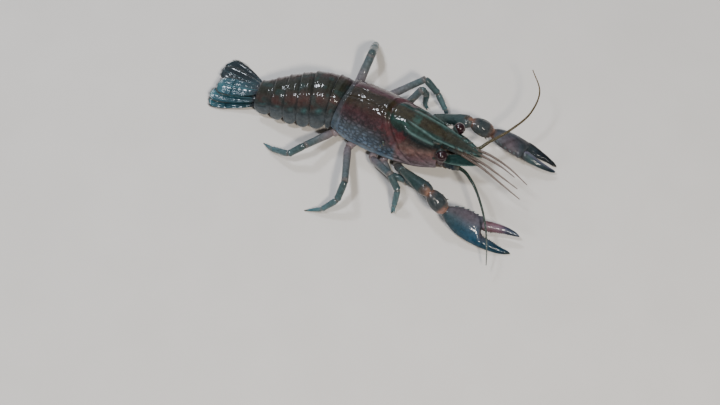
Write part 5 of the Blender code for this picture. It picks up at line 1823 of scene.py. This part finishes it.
@dataclass(frozen=True)
class Underside:
    """The narrow breast plate between the legs, with a rib at each pair."""

    # x, half width, underside
    sizes: tuple = ((1.6, 2.4, 1.9), (2.0, 2.6, 1.7), (4.0, 3.2, 1.3), (17.0, 3.2, 1.2), (21.0, 2.6, 1.5), (21.4, 2.3, 1.7))
    top: float = 3.6
    legs_at: tuple = (4.6, 7.6, 10.8, 13.95, 16.3)

    def build(self, finishes: Finishes) -> None:
        """Makes the plate: a rounded box in section, ribbed across at each pair of legs.

        Args:
            finishes: the materials.
        """
        x = np.linspace(self.sizes[0][0], self.sizes[-1][0], 200)
        half, low = blend(self.sizes, x).T
        angles = np.arange(72) * 2 * math.pi / 72
        wide = np.sign(np.cos(angles)) * np.abs(np.cos(angles)) ** 0.5
        high = np.sign(np.sin(angles)) * np.abs(np.sin(angles)) ** 0.5
        middle, thick = 0.5 * (self.top + low), 0.5 * (self.top - low)
        grid = np.stack([x[:, None] + 0 * wide[None, :], half[:, None] * wide[None, :],
                         middle[:, None] + thick[:, None] * high[None, :]], -1)
        below = ramp(-high, 0.2, 0.9)[None, :]
        ribs = np.sum([hill(x - place, 0.55) for place in self.legs_at], axis=0)[:, None]
        seam = hill(grid[..., 1], 0.25)
        grid = raised(grid, below * (0.25 * ribs - 0.2 - 0.15 * seam) + 0.05 * (cloud(grid, 0.9, 131) - 0.5))
        tint = mixed(np.broadcast_to(linear("#9b8578"), grid.shape), linear("#5c5450"), 0.6 * (1.0 - ribs) * below)
        skin = Skin("breast_plate")
        skin.add(grid, tint)
        skin.make(finishes.under, ("thorax_underside",))


@dataclass(frozen=True)
class Studio:
    """Plain pale floor, soft lights, and the camera at the photograph's angle."""

    azimuth: float = 30.0
    elevation: float = 56.5
    distance_mm: float = 400.0
    pixels_per_mm: float = 4.2
    image: tuple[int, int] = (720, 405)
    # A point over the carapace's rear edge in the animal's frame, and its pixel
    aim: Point = (0.0, 0.0, 8.0)
    aim_pixel: tuple[float, float] = (344.9, 100.1)

    def camera(self) -> None:
        """Stands the camera off along its view direction and turns it so that the aim falls on its pixel."""
        aim = Vector((np.array(self.aim) - BOX_MIDDLE) * MM)
        a, e = math.radians(self.azimuth), math.radians(self.elevation)
        back = Vector((math.sin(a) * math.cos(e), -math.cos(a) * math.cos(e), math.sin(e)))
        focus = self.pixels_per_mm * self.distance_mm
        seen = Vector((self.aim_pixel[0] - self.image[0] / 2, self.image[1] / 2 - self.aim_pixel[1], -focus))
        turn = seen.normalized().rotation_difference(Vector((0.0, 0.0, -1.0))).to_matrix()
        level = (-back).to_track_quat("-Z", "Y").to_matrix()
        lens = bpy.data.cameras.new("photo_camera")
        lens.sensor_width = 36.0
        lens.lens = focus / self.image[0] * lens.sensor_width
        lens.clip_start, lens.clip_end = 0.01, 10.0
        camera = bpy.data.objects.new("photo_camera", lens)
        camera.matrix_world = Matrix.Translation(aim + back * self.distance_mm * MM) @ (level @ turn).to_4x4()
        bpy.context.scene.collection.objects.link(camera)
        bpy.context.scene.camera = camera

    def lamp(self, name: str, direction: Point, distance: float, size: float, power: float, tone: str) -> None:
        """Adds a square area light that faces the model.

        Args:
            name: its name.
            direction: from the model to the light.
            distance: in metres.
            size: side in metres.
            power: in watts.
            tone: hex colour.
        """
        light = bpy.data.lights.new(name, "AREA")
        light.size, light.energy, light.color = size, power, linear(tone)
        lamp = bpy.data.objects.new(name, light)
        way = Vector(direction).normalized()
        lamp.location = way * distance
        lamp.rotation_euler = way.to_track_quat("Z", "Y").to_euler()
        bpy.context.scene.collection.objects.link(lamp)

    def build(self) -> None:
        """Makes the floor, the world, the lights and the camera."""
        made, tree, shader = new_material("pale matt studio floor")
        place = add_node(tree, "ShaderNodeTexCoord").outputs["Object"]
        noise = add_node(tree, "ShaderNodeTexNoise", {"Vector": place, "Scale": 60.0, "Detail": 3.0})
        tone = add_node(tree, "ShaderNodeMix", {0: noise.outputs["Fac"], 6: (*linear("#c4c1bb"), 1.0),
                                                7: (*linear("#cdcac5"), 1.0)}, data_type="RGBA")
        tree.links.new(tone.outputs[2], shader.inputs["Base Color"])
        shader.inputs["Roughness"].default_value = 0.8
        mesh = bpy.data.meshes.new("floor")
        mesh.from_pydata([(-2, -2, 0), (2, -2, 0), (2, 2, 0), (-2, 2, 0)], [], [(0, 1, 2, 3)])
        mesh.materials.append(made)
        floor = bpy.data.objects.new("floor", mesh)
        floor.location = (0.0, 0.0, -0.00002)
        bpy.context.scene.collection.objects.link(floor)
        world = bpy.data.worlds.new("soft studio")
        world.use_nodes = True
        world.node_tree.nodes["Background"].inputs["Color"].default_value = (*linear("#c9ccd0"), 1.0)
        world.node_tree.nodes["Background"].inputs["Strength"].default_value = 0.2
        bpy.context.scene.world = world
        self.lamp("key", (0.55, -0.45, 0.8), 0.55, 0.06, 2.7, "#fff6ea")
        self.lamp("top", (-0.25, -0.3, 1.0), 0.6, 0.08, 2.2, "#f2f6ff")
        self.lamp("fill", (-0.8, 0.9, 0.9), 0.8, 0.9, 1.3, "#e6eeff")
        self.lamp("back", (-0.56, 0.3, 0.75), 0.6, 0.07, 1.4, "#eef4ff")
        self.camera()


def walking_legs() -> list[WalkingLeg]:
    """The eight walking legs, from the joints that their solids have.

    Returns:
        List of legs.
    """
    joints = {
        "leg_right_2": ((13.9, -3.5, 2.25), (14.5, -7.0, 1.7), (17.6, -9.3, 1.5), (21.6, -8.7, 1.6),
                        (25.4, -8.3, 1.0), (27.6, -8.2, 0.0)),
        "leg_right_3": ((10.8, -3.5, 2.3), (12.0, -7.9, 2.3), (19.4, -12.6, 7.8), (22.1, -13.8, 5.0),
                        (22.6, -16.2, 1.8), (22.6, -17.4, 0.0)),
        "leg_right_4": ((7.6, -3.5, 2.3), (5.4, -8.0, 2.4), (10.8, -18.8, 6.6), (10.8, -22.4, 3.4),
                        (8.3, -25.2, 1.2), (4.6, -27.0, 0.0)),
        "leg_right_5": ((4.6, -3.5, 2.3), (0.4, -6.8, 3.1), (-2.8, -14.1, 5.0), (-5.6, -17.0, 3.0),
                        (-10.3, -16.9, 1.3), (-13.3, -15.9, 0.0)),
        "leg_left_2": ((14.0, 3.5, 2.3), (14.6, 7.0, 1.7), (17.6, 9.3, 1.5), (21.4, 8.2, 1.6),
                       (25.2, 7.4, 1.0), (27.4, 6.8, 0.0)),
        "leg_left_3": ((10.8, 3.5, 2.3), (11.3, 8.1, 2.2), (14.4, 11.8, 8.0), (15.2, 13.0, 5.0),
                       (15.2, 12.4, 1.8), (16.0, 12.1, 0.0)),
        "leg_left_4": ((7.6, 3.5, 2.3), (6.1, 8.6, 2.4), (13.8, 14.8, 8.2), (17.4, 14.6, 5.0),
                       (20.4, 13.2, 1.8), (21.6, 12.7, 0.0)),
        "leg_left_5": ((4.6, 3.5, 2.3), (-1.2, 8.1, 2.3), (-1.2, 14.9, 7.5), (-2.5, 18.7, 4.5),
                       (-3.6, 21.5, 1.8), (-4.2, 23.2, 0.0)),
    }
    return [WalkingLeg(node, places, 1.22 if node == "leg_left_5" else 1.0, node[-1] in "23")
            for node, places in joints.items()]


def chelipeds() -> list[Cheliped]:
    """The two claw limbs.

    Returns:
        List of claw limbs.
    """
    return [
        Cheliped("right", ((16.3, -3.5, 2.25), (18.1, -6.6, 2.15), (20.6, -8.6, 4.9), (29.6, -12.4, 8.2),
                           (34.2, -13.1, 4.8), (51.6, -12.9, 0.35)), 1.0, 23.0),
        Cheliped("left", ((16.3, 3.5, 2.25), (18.1, 6.6, 2.15), (20.4, 8.5, 4.9), (29.0, 9.6, 7.9),
                          (33.9, 11.2, 5.0), (50.5, 12.9, 0.35)), -1.0, 9.0)]


def main() -> None:
    """Builds the studio and every part of the animal."""
    logging.basicConfig(level=logging.INFO, format="%(name)s %(message)s")
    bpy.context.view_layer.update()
    Studio().build()
    finishes = Finishes.mixed()
    for part in (Carapace(), Abdomen(), TailFan(), Eyes(), Feelers(), Mouthparts(), Underside(),
                 *walking_legs(), *chelipeds()):
        part.build(finishes)


if __name__ == "__main__":
    main()
